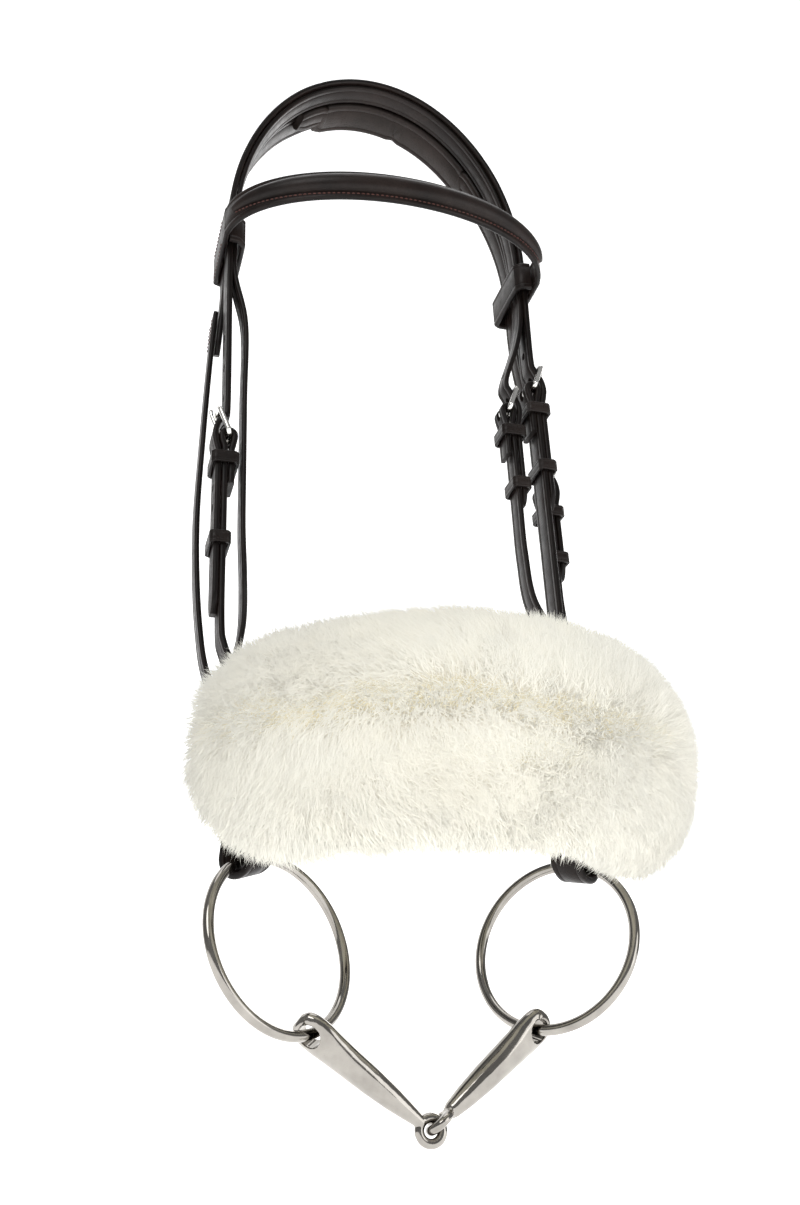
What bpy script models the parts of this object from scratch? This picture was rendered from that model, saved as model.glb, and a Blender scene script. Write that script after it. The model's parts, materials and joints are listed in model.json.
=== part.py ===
"""Snaffle bridle with a sheepskin-covered noseband, hanging from its headpiece.

Frame: the origin is the middle of the poll pad's underside, where the bridle rests on the
horse's poll or on a peg. +Z is up, -Y is the front (the browband side), +X is the horse's left.
Sizes are in millimetres and become metres where a mesh is made.
"""
import math

import bmesh
import bpy
from mathutils import Matrix, Vector

MM = 0.001

# ---- headpiece and arch -------------------------------------------------------------------
ARCH_HALF = 85.5          # half width of the arch's inner line
ARCH_RISE = 130.0         # its height, from the straight legs to the poll
ARCH_STEPS = 21           # odd, so that the middle step is a flat seat
HEAD_OFFSET = 6.4         # leather's middle above the arch's inner line
HEAD_THICK = 3.2
CROWN_WIDTH = 38.0
LEGS_WIDTH = 32.0         # both legs and the slit between them
LEGS_Y = -1.5
CROWN_END_Z = -165.0
SLIT_WIDTH = 3.0
SLIT_START_DEG = 36.0     # from the pad's middle to each slit's start
SHIFT_DEG = 14.0          # the headpiece hangs this far off centre
PAD_OFFSET = 2.25
PAD_THICK = 4.5
PAD_FRONT_Y = -3.0
PAD_REAR_Y = 19.0
PAD_STEP_Y = 12.0         # rear edge where it is cut back for the ears
PAD_STEP_DEG = 33.0
PAD_END_DEG = 46.0
NOTCH_RADIUS = 3.6
SLIP_OFFSET = 3.1
SLIP_THICK = 2.8
SLIP_WIDTH = 13.0

# ---- browband -----------------------------------------------------------------------------
BROW_Z = -140.0
BROW_HALF = 95.7          # half width of the front curve, at the loops' outer walls
BROW_DEPTH = 51.0
BROW_BACK_Y = -24.0       # where the front curve meets the loops
BROW_HEIGHT = 19.5
BROW_THICK = 3.0
LOOP_INNER_X = 85.0
LOOP_REAR_Y = 16.8
LOOP_CORNER = 3.0
ROLL_HEIGHT = 12.0        # the padded roll along the browband's middle
ROLL_BULGE = 4.2
ROLL_END_DEG = 74.0

# ---- straps and buckles -------------------------------------------------------------------
CHEEK_WIDTH = 16.0
CHEEK_THICK = 3.2
BILLET_THICK = 3.0
CHEEK_Y = -9.5
CHEEK_BUCKLE_X = 90.5
CHEEK_BUCKLE_Z = {-1: -277.0, 1: -219.0}
CHEEK_TAIL = {-1: 104.0, 1: 80.0}
CHEEK_RUNNER = {-1: -63.0, 1: -54.0}
THROAT_Y = 8.0
THROAT_WIDTH = 13.0
THROAT_THICK = 2.8
THROAT_BUCKLE = Vector((104.0, 14.0, -273.0))
SLIP_BUCKLE = Vector((73.8, -10.0, -236.0))
CHIN_BUCKLE = Vector((30.0, 11.0, -453.0))
CHIN_WIDTH = 16.0
GAP = 0.35                # between pieces that touch
WIRE = 1.5                # radius of a buckle's wire
TOE = (15.0, 5.6)         # a toe bar's place from its heel bar, along and out
KEEPER_THICK = 1.8
KEEPER_AT = -15.0         # the fixed keeper, from the heel bar
KEEPER_WIDTH = 7.0
FOLD_END = -30.0          # how far a fold's tip runs back from its heel bar
LAYER = 1.8               # from a fold's middle plane to each of its two layers

# ---- noseband -----------------------------------------------------------------------------
NOSE_RADIUS = 88.0
NOSE_CENTRE_Y = -47.0
NOSE_Z = -455.0
NOSE_WIDTH = 28.0
NOSE_THICK = 4.0
NOSE_BACK_Y = -24.0       # the straight sides run back to here
COVER_ENDS_DEG = (-77.0, 83.0)
COVER_Z = -473.0
COVER_HALF_DEPTH = 31.0
COVER_HALF_HEIGHT = 41.0
CHANNEL_HALF_DEPTH = 2.8
CHANNEL_LOW = 3.2         # from COVER_Z to the channel's lower and upper side
CHANNEL_HIGH = 33.2
STRIP_HEIGHT = 20.0
STRIP_THICK = 1.2

# ---- bit ----------------------------------------------------------------------------------
RING_RADIUS = 40.0
RING_WIRE = 2.5
LOOP_TOP = Vector((80.0, -28.0, -508.0))   # where a ring hangs in its cheekpiece
RING_LEAN_DEG = 21.5      # a ring's chord from the vertical
MOUTH_LEAN_DEG = 51.5     # a mouthpiece half from the vertical
RING_TURN = {-1: (0.56, 0.83), 1: (0.78, 0.63)}   # how far a ring faces sideways and forward
LEATHER_LOOP = 7.4        # inner radius of the leather loop round a ring
LOOP_LIFT = 2.5           # from the ring's hanging point to that loop's middle
HOLE_RADIUS = 5.2
EYE_RADIUS = 5.2
EYE_WIRE = 2.2
EYE_SET = {-1: 0.0, 1: 5.2}   # from the centre joint back to each eye's middle

UP = Vector((0, 0, 1))
BACK = Vector((0, 1, 0))


# ---- tools --------------------------------------------------------------------------------
def clear_scene():
    for obj in list(bpy.data.objects):
        bpy.data.objects.remove(obj, do_unlink=True)


def material(name, colour, roughness, metallic=0.0):
    mat = bpy.data.materials.get(name) or bpy.data.materials.new(name)
    mat.use_nodes = True
    shader = mat.node_tree.nodes["Principled BSDF"]
    shader.inputs["Base Color"].default_value = (*colour, 1.0)
    shader.inputs["Roughness"].default_value = roughness
    shader.inputs["Metallic"].default_value = metallic
    return mat


def leather():
    return material("leather", (0.026, 0.019, 0.017), 0.42)


def lining():
    return material("lining_leather", (0.034, 0.026, 0.023), 0.5)


def steel():
    return material("stainless_steel", (0.56, 0.54, 0.52), 0.16, 1.0)


def nickel():
    return material("buckle_metal", (0.83, 0.82, 0.79), 0.2, 1.0)


def sheepskin():
    return material("sheepskin", (0.84, 0.80, 0.70), 0.95)


def make_object(name, bm, mat, smooth_deg=40.0, origin=None):
    bm.normal_update()
    bmesh.ops.recalc_face_normals(bm, faces=bm.faces)
    origin = Vector(origin or (0, 0, 0))
    for vert in bm.verts:
        vert.co = (vert.co - origin) * MM
    mesh = bpy.data.meshes.new(name)
    bm.to_mesh(mesh)
    bm.free()
    mesh.materials.append(mat)
    mesh.shade_smooth()
    mesh.set_sharp_from_angle(angle=math.radians(smooth_deg))
    obj = bpy.data.objects.new(name, mesh)
    obj.location = origin * MM
    bpy.context.scene.collection.objects.link(obj)
    return obj


def bore(target, cutters, operation="DIFFERENCE", solver="EXACT"):
    """Keep Boolean modifiers on target; the cutters are guides and aren't pieces."""
    for cutter in cutters:
        mod = target.modifiers.new(cutter.name, "BOOLEAN")
        mod.operation = operation
        mod.solver = solver
        mod.object = cutter
        cutter.hide_render = True
        cutter.display_type = "WIRE"


def spline(points, per_span=3):
    """Points along a smooth curve through the given ones."""
    pts = [Vector(p) for p in points]
    ends = [2 * pts[0] - pts[1], *pts, 2 * pts[-1] - pts[-2]]
    curve = []
    for i in range(1, len(ends) - 2):
        a, b, c, d = ends[i - 1:i + 3]
        for k in range(per_span):
            t = k / per_span
            curve.append(0.5 * (2 * b + (c - a) * t + (2 * a - 5 * b + 4 * c - d) * t * t
                                + (3 * b - a - 3 * c + d) * t * t * t))
    return curve + [pts[-1]]


def flat_section(width, thick, edge=0.7):
    """A strap's section: a rectangle with its four edges taken off."""
    w, t = width / 2, thick / 2
    edge = min(edge, 0.45 * thick)
    if edge == 0:
        return [(-w, -t), (w, -t), (w, t), (-w, t)]
    return [(-w, -t + edge), (-w + edge, -t), (w - edge, -t), (w, -t + edge),
            (w, t - edge), (w - edge, t), (-w + edge, t), (-w, t - edge)]


def round_section(radius, sides=8):
    turns = [2 * math.pi * (k + 0.5) / sides for k in range(sides)]
    return [(radius * math.cos(a), radius * math.sin(a)) for a in turns]


def sweep(bm, points, across, sections, closed=False):
    """Carry a section along points; across is the section's first axis at each point."""
    count = len(points)
    rings = []
    for i, point in enumerate(points):
        before = points[i - 1] if (closed or i > 0) else point
        after = points[(i + 1) % count] if (closed or i < count - 1) else point
        along = (after - before).normalized()
        normal = along.cross(across[i]).normalized()
        side = normal.cross(along)
        rings.append([bm.verts.new(point + a * side + b * normal) for a, b in sections[i]])
    spans = count if closed else count - 1
    size = len(rings[0])
    for i in range(spans):
        one, two = rings[i], rings[(i + 1) % count]
        for k in range(size):
            nxt = (k + 1) % size
            bm.faces.new((one[k], one[nxt], two[nxt], two[k]))
    if not closed:
        bm.faces.new(rings[0][::-1])
        bm.faces.new(rings[-1])


def strap(name, points, across, width, thick, mat=None, closed=False, origin=None, edge=0.7):
    """A flat strap. across and width are one value, or a list with one for each point."""
    count = len(points)
    points = [Vector(p) for p in points]
    across = across if isinstance(across, list) else [across] * count
    widths = width if isinstance(width, list) else [width] * count
    bm = bmesh.new()
    sweep(bm, points, across, [flat_section(w, thick, edge) for w in widths], closed)
    return make_object(name, bm, mat or leather(), origin=origin)


def pointed(count, width, tip=4):
    """Widths for a strap that ends in a rounded point."""
    widths = [width] * count
    for k in range(tip):
        reach = (k + 0.6) / tip
        widths[count - 1 - k] = width * math.sqrt(1 - (1 - reach) ** 2) if reach < 1 else width
    return widths


def box_cutter(name, centre, axes, sizes):
    """A box whose edges run along three axes."""
    bm = bmesh.new()
    bmesh.ops.create_cube(bm, size=1.0)
    turn = Matrix([axes[0], axes[1], axes[2]]).transposed()
    for vert in bm.verts:
        vert.co = Vector(centre) + turn @ Vector([v * s for v, s in zip(vert.co, sizes)])
    return make_object(name, bm, leather())


def hole_cutter(name, centre, axis, radius, length, sides=10):
    bm = bmesh.new()
    axis = Vector(axis).normalized()
    bmesh.ops.create_cone(bm, cap_ends=True, segments=sides, radius1=radius, radius2=radius,
                          depth=length)
    turn = axis.to_track_quat("Z", "Y").to_matrix()
    for vert in bm.verts:
        vert.co = Vector(centre) + turn @ vert.co
    return make_object(name, bm, leather())


class Place:
    """A buckle's local frame: heel bar at the origin, u to the toe bar, n out of the strap."""

    def __init__(self, origin, u, n):
        self.origin = Vector(origin)
        self.u = Vector(u)
        self.n = Vector(n)
        self.w = self.u.cross(self.n)

    def at(self, u, n, w=0.0):
        return self.origin + u * self.u + n * self.n + w * self.w


# ---- buckle, tongue and keepers -----------------------------------------------------------
def fold_points(place, end):
    """A strap's end folded round a heel bar, from the fold's tip out to the main layer."""
    radius = WIRE + GAP + CHEEK_THICK / 2
    turn = [math.radians(a) for a in (-90, -45, 0, 45, 90)]
    arc = [(radius * math.cos(a), radius * math.sin(a)) for a in turn]
    path = [(end, -LAYER), (-9.0, -LAYER), (-4.5, -2.8), *arc, (-4.5, 2.8), (-9.0, LAYER)]
    return [place.at(u, n) for u, n in path]


def tail_points(place, length, lead=22.0):
    """A billet's way under the toe bar, over the fold and down through the keepers."""
    path = [(lead, 0.8), (13.5, 2.3), (6.5, 5.9), (0.0, 7.05), (-5.0, 6.4), (-10.5, 5.3),
            (-30.0, 5.3), (-length + 6.0, 5.3), (-length, 5.3)]
    return [place.at(u, n) for u, n in path]


def tongue_slot(name, place):
    """The slot in a fold that a tongue's root turns in."""
    return box_cutter(name, place.at(0.5, 0), (place.u, place.n, place.w), (11.6, 12.0, 4.6))


def tail_slot(name, place):
    """The punched hole that a tongue passes through."""
    return box_cutter(name, place.at(6.4, 5.0), (place.u, place.n, place.w), (12.2, 14.0, 4.4))


def buckle(name, place, width):
    half = width / 2 + 0.6 + WIRE
    corner = 2.4
    reach = math.hypot(*TOE)
    out = Vector((TOE[0] / reach, TOE[1] / reach))
    points = []
    for cw, cv, start in ((half - corner, corner, -90), (half - corner, reach - corner, 0),
                          (-half + corner, reach - corner, 90), (-half + corner, corner, 180)):
        for step in (0, 45, 90):
            angle = math.radians(start + step)
            w = cw + corner * math.cos(angle)
            v = cv + corner * math.sin(angle)
            points.append(place.at(out.x * v, out.y * v, w))
    bm = bmesh.new()
    facing = (place.n * out.x - place.u * out.y).normalized()
    sweep(bm, points, [facing] * len(points), [round_section(WIRE)] * len(points), closed=True)
    return make_object(name, bm, nickel())


def tongue(name, place):
    radius = WIRE + 1.5
    arc = [math.radians(a) for a in (-10, -55, -100, -145, -190, -235, -255)]
    path = [(radius * math.cos(a), radius * math.sin(a)) for a in arc]
    path += [(7.0, 5.6), (12.5, 7.8), (16.2, 9.0), (18.6, 9.0)]
    points = [place.at(u, n) for u, n in path]
    return strap(name, points, place.w, 3.2, 2.0, nickel(), origin=place.origin)


def keeper(name, place, u, width, low, high, mat=None, wide=KEEPER_WIDTH):
    """A leather loop round the layers between low and high."""
    slack = 0.45
    half = width / 2 + slack + KEEPER_THICK / 2
    low -= slack + KEEPER_THICK / 2
    high += slack + KEEPER_THICK / 2
    corner = 1.7
    points = []
    for cw, cn, start in ((half - corner, low + corner, -90), (half - corner, high - corner, 0),
                          (-half + corner, high - corner, 90), (-half + corner, low + corner, 180)):
        for step in (0, 45, 90):
            angle = math.radians(start + step)
            points.append(place.at(u, cn + corner * math.sin(angle),
                                   cw + corner * math.cos(angle)))
    return strap(name, points, place.u, wide, KEEPER_THICK, mat, closed=True,
                 origin=place.at(u, (low + high) / 2), edge=0)


def buckle_set(prefix, place, width, runner_at, fold_inner=-3.5, tail_outer=6.85):
    """A buckle with its tongue, the fixed keeper under it and the runner further down."""
    buckle(prefix + "_buckle", place, width)
    tongue(prefix + "_buckle_tongue", place)
    keeper(prefix + "_keeper", place, KEEPER_AT, width, fold_inner, tail_outer)
    keeper(prefix + "_runner", place, runner_at, width, 0.15, tail_outer)


# ---- headpiece ----------------------------------------------------------------------------
def arch_point(angle, offset):
    """A point on the faceted arch, at an angle from the poll and an offset outwards."""
    step = math.pi / ARCH_STEPS
    place = (angle + math.pi / 2) / step
    low = min(max(math.floor(place + 1e-6), 0), ARCH_STEPS - 1)
    one = arch_corner(low * step - math.pi / 2, offset)
    two = arch_corner((low + 1) * step - math.pi / 2, offset)
    return one.lerp(two, place - low)


def arch_corner(angle, offset):
    """One corner of the arch. Its middle facet is the seat, at z 0."""
    seat = math.radians(90.0 / ARCH_STEPS)
    lift = ARCH_RISE * (1 - math.cos(seat))
    normal = Vector((math.sin(angle) / ARCH_HALF, 0, math.cos(angle) / ARCH_RISE)).normalized()
    base = Vector((ARCH_HALF * math.sin(angle), 0,
                   ARCH_RISE * (math.cos(angle) - 1) + lift))
    return base + offset * normal


def arch_angles(low=-90.0, high=90.0):
    """The arch's steps between two angles in degrees, and the two angles themselves."""
    steps = [-90.0 + 180.0 * i / ARCH_STEPS for i in range(ARCH_STEPS + 1)]
    inside = [a for a in steps if low + 1.5 < a < high - 1.5]
    return [math.radians(a) for a in (low, *inside, high)]


def arch_line(offset, y_at, low=-90.0, high=90.0):
    """The arch at an offset. y_at gives the strap's middle in Y for an angle in degrees."""
    points = [arch_point(a, offset) for a in arch_angles(low, high)]
    for point, angle in zip(points, arch_angles(low, high)):
        point.y = y_at(math.degrees(angle))
    return points


def crown_share(angle):
    """1 over the poll, falling to 0 at the legs."""
    return max(0.0, min(1.0, (75.0 - abs(angle - SHIFT_DEG)) / 30.0))


def headpiece():
    angles = [math.degrees(a) for a in arch_angles()]
    points = arch_line(HEAD_OFFSET, lambda a: LEGS_Y * (1 - crown_share(a)))
    widths = [LEGS_WIDTH + (CROWN_WIDTH - LEGS_WIDTH) * crown_share(a) for a in angles]
    foot = Vector((ARCH_HALF + HEAD_OFFSET, LEGS_Y, CROWN_END_Z))
    points = [Vector((-foot.x, foot.y, foot.z)), *points, foot]
    head = strap("headpiece", points, BACK, [LEGS_WIDTH, *widths, LEGS_WIDTH], HEAD_THICK)

    # The exact solver leaves open edges where the slits meet the curved crown.
    bore(head, [cheek_billet(side) for side in (-1, 1)], "UNION", "MANIFOLD")
    bore(head, [throat_billet(side) for side in (-1, 1)], "UNION", "MANIFOLD")
    cutters = []
    for side in (-1, 1):
        start = SHIFT_DEG + side * SLIT_START_DEG
        turns = [start + (side * 87.0 - start) * k / 9 for k in range(10)]
        line = [arch_point(math.radians(a), HEAD_OFFSET) for a in turns]
        line.append(Vector((side * foot.x, 0, CROWN_END_Z - 6)))
        cutters.append(strap(f"slit_cutter_{side}", line, BACK, SLIT_WIDTH, 9.0))
        place = cheek_place(side)
        cutters.append(tail_slot(f"cheek_slot_{side}", place))
        for step in (28.0, 48.0, -30.0):
            cutters.append(hole_cutter(f"hole_{side}_{step:.0f}", place.at(step, 3.0), place.n,
                                       1.9, 12.0))
    cutters.append(tail_slot("throat_slot", throat_place()))
    bore(head, cutters, solver="MANIFOLD")


def cheek_place(side):
    return Place((side * CHEEK_BUCKLE_X, CHEEK_Y, CHEEK_BUCKLE_Z[side]), UP, (side, 0, 0))


def throat_place():
    return Place(THROAT_BUCKLE, UP, (1, 0, 0))


def cheek_billet(side):
    """The headpiece's front leg, with the point that goes through the cheek buckle."""
    place = cheek_place(side)
    top = Vector((side * (ARCH_HALF + HEAD_OFFSET), CHEEK_Y, -152.0))
    points = [top, *spline(tail_points(place, CHEEK_TAIL[side]), 2)]
    widths = pointed(len(points), CHEEK_WIDTH - 0.1, 3)
    return strap(f"cheek_billet_{side}", points, BACK, widths, BILLET_THICK)


def throat_billet(side):
    """The headpiece's rear leg: the left one is a short lap, the right one a point."""
    x = ARCH_HALF + HEAD_OFFSET
    if side < 0:
        points = [(-x, THROAT_Y, -152), (-x, THROAT_Y, -162), (-x - 0.9, THROAT_Y + 1.6, -179),
                  (-x - 2.6, THROAT_Y + 4.5, -205)]
        widths = THROAT_WIDTH - 0.1
    else:
        tail = tail_points(throat_place(), 58.0)
        lead = [(x, THROAT_Y, -152), (x, THROAT_Y, -164), (x + 2.2, THROAT_Y + 2.0, -188),
                (x + 9.6, THROAT_BUCKLE.y - 0.5, -228)]
        points = spline([*lead, *tail], 2)
        widths = pointed(len(points), THROAT_WIDTH - 0.1, 3)
    return strap(f"throat_billet_{side}", points, BACK, widths, THROAT_THICK + 0.1)


def poll_pad():
    """The padding under the rear of the headpiece, cut back for the ears, with a notch."""
    edge = 1.6
    stops = [-PAD_END_DEG, -PAD_STEP_DEG - edge, -PAD_STEP_DEG, PAD_STEP_DEG,
             PAD_STEP_DEG + edge, PAD_END_DEG]
    rears = [PAD_STEP_Y - 3, PAD_STEP_Y, PAD_REAR_Y, PAD_REAR_Y, PAD_STEP_Y, PAD_STEP_Y - 3]
    low, high = SHIFT_DEG - PAD_END_DEG, SHIFT_DEG + PAD_END_DEG
    steps = {math.degrees(a) for a in arch_angles(low, high)}
    angles = sorted(a for a in steps | {SHIFT_DEG + s for s in stops}
                    if a in {SHIFT_DEG + s for s in stops}
                    or min(abs(a - SHIFT_DEG - s) for s in stops) > 1.5)
    points, widths = [], []
    for angle in angles:
        local = angle - SHIFT_DEG
        k = max(i for i in range(len(stops) - 1) if stops[i] <= local + 1e-6)
        share = (local - stops[k]) / (stops[k + 1] - stops[k])
        rear = rears[k] + share * (rears[k + 1] - rears[k])
        point = arch_point(math.radians(angle), PAD_OFFSET)
        point.y = (rear + PAD_FRONT_Y) / 2
        points.append(point)
        widths.append(rear - PAD_FRONT_Y)
    pad = strap("poll_pad", points, BACK, widths, PAD_THICK, lining())
    middle = arch_point(math.radians(SHIFT_DEG), PAD_OFFSET)
    axis = Vector((math.sin(math.radians(SHIFT_DEG)), 0, math.cos(math.radians(SHIFT_DEG))))
    middle.y = PAD_REAR_Y + 0.5
    bore(pad, [hole_cutter("notch_cutter", middle, axis, NOTCH_RADIUS, 20.0, 14)])


# ---- browband -----------------------------------------------------------------------------
def brow_curve(angle, out=0.0):
    """The browband's front curve, at an angle from its middle and an offset outwards."""
    flat = Vector((BROW_HALF * math.sin(angle), -BROW_DEPTH * math.cos(angle), 0))
    normal = Vector((math.sin(angle) / BROW_HALF, -math.cos(angle) / BROW_DEPTH, 0)).normalized()
    return Vector((0, BROW_BACK_Y, BROW_Z)) + flat + out * normal


def browband():
    """The band and the loops at its ends, which the headpiece's legs pass through."""
    front = [brow_curve(math.radians(a)) for a in range(-90, 91, 9)]
    corner = LOOP_CORNER
    end = []
    for cx, start in ((BROW_HALF - corner, 0), (LOOP_INNER_X + corner, 90)):
        for step in (0, 45, 90):
            angle = math.radians(start + step)
            end.append((cx + corner * math.cos(angle),
                        LOOP_REAR_Y - corner + corner * math.sin(angle)))
    end += [(LOOP_INNER_X, -17.0), (LOOP_INNER_X + 0.9, -20.6), (LOOP_INNER_X + 3.4, -23.0),
            (BROW_HALF - 2.4, -23.6)]
    right = [Vector((x, y, BROW_Z)) for x, y in end]
    left = [Vector((-x, y, BROW_Z)) for x, y in end]
    points = [*left[::-1], *front, *right]
    strap("browband", points, UP, BROW_HEIGHT, BROW_THICK)


def browband_padding():
    """The raised roll on the browband's front, which thins out towards the loops."""
    bm = bmesh.new()
    rings = []
    count = 17
    for i in range(count):
        share = 2 * i / (count - 1) - 1
        angle = math.radians(ROLL_END_DEG * share)
        fade = math.sqrt(1 - abs(share) ** 2.5 * 0.9)
        half = ROLL_HEIGHT / 2 * fade
        base = BROW_THICK / 2 + GAP
        shape = [(-half, 0), (half, 0)]
        for a in (30, 60, 90, 120, 150):
            reach = math.radians(a)
            shape.append((half * math.cos(reach), 0.6 + ROLL_BULGE * fade * math.sin(reach)))
        rings.append([bm.verts.new(brow_curve(angle, base + out) + Vector((0, 0, up)))
                      for up, out in shape])
    for one, two in zip(rings, rings[1:]):
        for k in range(len(one)):
            nxt = (k + 1) % len(one)
            bm.faces.new((one[k], one[nxt], two[nxt], two[k]))
    bm.faces.new(rings[0][::-1])
    bm.faces.new(rings[-1])
    make_object("browband_padding", bm, leather())


# ---- cheekpieces --------------------------------------------------------------------------
def mirrored(vector, side):
    """A vector given for the right side (+X), on either side."""
    return Vector((side * vector[0], vector[1], vector[2]))


def ring_axes(side):
    """A ring's chord from its leather loop to the mouthpiece, its normal and wire direction."""
    lean = math.radians(RING_LEAN_DEG)
    chord = Vector((-math.sin(lean), 0, -math.cos(lean)))
    sideways = Vector((-math.cos(lean), 0, math.sin(lean)))
    normal = (RING_TURN[side][0] * sideways - RING_TURN[side][1] * BACK).normalized()
    wire = normal.cross(chord)
    if wire.y < 0:
        wire = -wire
    return mirrored(chord, side), mirrored(normal, side), mirrored(wire, side)


def cheekpiece(side):
    place = cheek_place(side)
    folded = fold_points(place, FOLD_END)
    wire = ring_axes(side)[2]
    axis = Vector((wire.x, wire.y, 0)).normalized()
    out = Vector((axis.y * side, -axis.x * side, 0))
    base = mirrored(LOOP_TOP, side) + Vector((0, 0, LOOP_LIFT))
    x = CHEEK_BUCKLE_X + LAYER
    top = base.z + 26
    middle = spline([(x, CHEEK_Y, place.origin.z - 25), (x, CHEEK_Y, -330), (x, CHEEK_Y, -384),
                     (90.5, -11.5, -401), (83.8, -14.5, -418), (80.2, -17, -433),
                     (80, -19, -445), (80, -23, -460)], 3)
    middle = [mirrored(p, side) for p in middle]
    radius = LEATHER_LOOP + CHEEK_THICK / 2
    loop = [(LAYER, 26), (LAYER, 18.5), (4.6, 13), (7.9, 6.5)]
    loop += [(radius * math.cos(a), radius * math.sin(a))
             for a in (math.radians(-d) for d in range(0, 181, 30))]
    loop += [(-7.9, 6.5), (-4.6, 13), (-LAYER, 18.5), (-LAYER, 25)]
    lower = [base + e * out + h * UP for e, h in loop]
    points = [*folded, *middle, *lower]
    across = []
    for point in points[:len(folded) + len(middle)]:
        share = max(0.0, min(1.0, (-460 - point.z) / (-460 - top)))
        across.append(BACK.lerp(axis, share).normalized())
    across += [wire] * len(lower)
    piece = strap(f"cheekpiece_{side_name(side)}", points, across, CHEEK_WIDTH, CHEEK_THICK)
    bore(piece, [tongue_slot(f"cheek_fold_{side}", place)])
    stack = Place(base, UP, out)
    keeper(f"billet_keeper_{side_name(side)}", stack, 22.0, CHEEK_WIDTH, -3.5, 3.5, wide=6.0)


def side_name(side):
    return "left" if side < 0 else "right"


# ---- noseband headstrap and throatlash ----------------------------------------------------
def slip_place():
    return Place(SLIP_BUCKLE, UP, (1, 0, 0))


def nose_outer(angle_deg, out):
    """A point off the nosepiece's middle line, at an angle from its front."""
    angle = math.radians(angle_deg)
    reach = NOSE_RADIUS + out
    return Vector((reach * math.sin(angle), NOSE_CENTRE_Y - reach * math.cos(angle), NOSE_Z))


def headstrap_foot(side, x_inner):
    """The headstrap's way from beside the cheekpiece to the nosepiece's outer face."""
    x_end = NOSE_RADIUS + NOSE_THICK / 2 + GAP + SLIP_THICK / 2
    path = [(x_inner, -10, -300), (x_inner, -10.5, -332), (x_inner, -17, -364), (84, -28.5, -394),
            (88.5, -35, -418), (x_end, -36.5, -440), (x_end, -36.5, -467)]
    return [mirrored(p, side) for p in path]


def headstrap():
    """The noseband's long strap: over the poll under the headpiece and down the left side."""
    line = arch_line(SLIP_OFFSET, lambda a: -10.5 + 1.0 * (1 - crown_share(a)))
    x = ARCH_HALF + SLIP_OFFSET
    left = [*headstrap_foot(-1, 82.0)[::-1], (-82, -10, -200), (-x, -9.5, -164)]
    right = [(x, -9.5, -162), (x - 4.5, -9.8, -186), *tail_points(slip_place(), 62.0)]
    points = [*spline(left, 2), *line, *spline(right, 2)]
    widths = pointed(len(points), SLIP_WIDTH, 3)
    piece = strap("noseband_headstrap", points, BACK, widths, SLIP_THICK)
    bore(piece, [tail_slot("slip_slot", slip_place())])


def noseband_cheek_strap():
    """The short strap up from the noseband's right side to the headstrap's buckle."""
    place = slip_place()
    x = SLIP_BUCKLE.x + LAYER
    down = [(x, SLIP_BUCKLE.y, SLIP_BUCKLE.z - 25), *headstrap_foot(1, x)]
    points = [*fold_points(place, FOLD_END), *spline(down, 3)]
    piece = strap("noseband_cheek_strap", points, BACK, SLIP_WIDTH, SLIP_THICK)
    bore(piece, [tongue_slot("slip_fold", place)])


def throatlash():
    """From its lap under the left rear leg, round behind, up to its buckle on the right."""
    place = throat_place()
    x = ARCH_HALF + HEAD_OFFSET + 3.6
    left = [(-x - 0.9, THROAT_Y + 1.9, -179), (-x - 2.6, THROAT_Y + 4.5, -205),
            (-101, 14, -262), (-103, 14, -322), (-100, 14, -378), (-93, 14, -410),
            (-74, 16, -425), (-40, 18, -431)]
    bottom = [(0, 18, -432)]
    lead = THROAT_BUCKLE.x + LAYER
    right = [(40, 18, -431), (74, 16, -425), (94, 14, -410), (lead, 14, -376),
             (lead, 14, -344), (lead, 14, -318)]
    points = [*spline([*left, *bottom, *right], 2), *fold_points(place, FOLD_END)[::-1]]
    piece = strap("throatlash", points, BACK, THROAT_WIDTH, THROAT_THICK)
    bore(piece, [tongue_slot("throat_fold", place)])


# ---- noseband -----------------------------------------------------------------------------
def chin_place():
    return Place(CHIN_BUCKLE, (-1, 0, 0), (0, 1, 0))


def nosepiece():
    """The leather band inside the sheepskin, whose right end is folded round its buckle."""
    place = chin_place()
    angles = [90.0 * (2 * i / 17 - 1) for i in range(18)]
    arc = [nose_outer(a, 0.0) for a in angles]
    arc = [Vector((-NOSE_RADIUS, NOSE_BACK_Y, NOSE_Z)), *arc]
    layer_y = CHIN_BUCKLE.y + LAYER
    turn = spline([arc[-1], (NOSE_RADIUS, NOSE_BACK_Y, NOSE_Z), (86.5, -9, NOSE_Z + 1),
                   (78, 5, NOSE_Z + 2), (64, 11.8, CHIN_BUCKLE.z),
                   (55, layer_y, CHIN_BUCKLE.z)], 2)[1:]
    folded = fold_points(place, -27.0)[::-1]
    points = [*arc, *turn, *folded]
    full = len(arc) - 1
    widths = [NOSE_WIDTH] * full
    widths += [max(CHIN_WIDTH, NOSE_WIDTH - 4.0 * k) for k in range(len(points) - full)]
    widths[0] = CHIN_WIDTH + 2
    piece = strap("nosepiece", points, UP, widths, CHEEK_THICK)
    bore(piece, [tongue_slot("chin_fold", place)])


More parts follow.
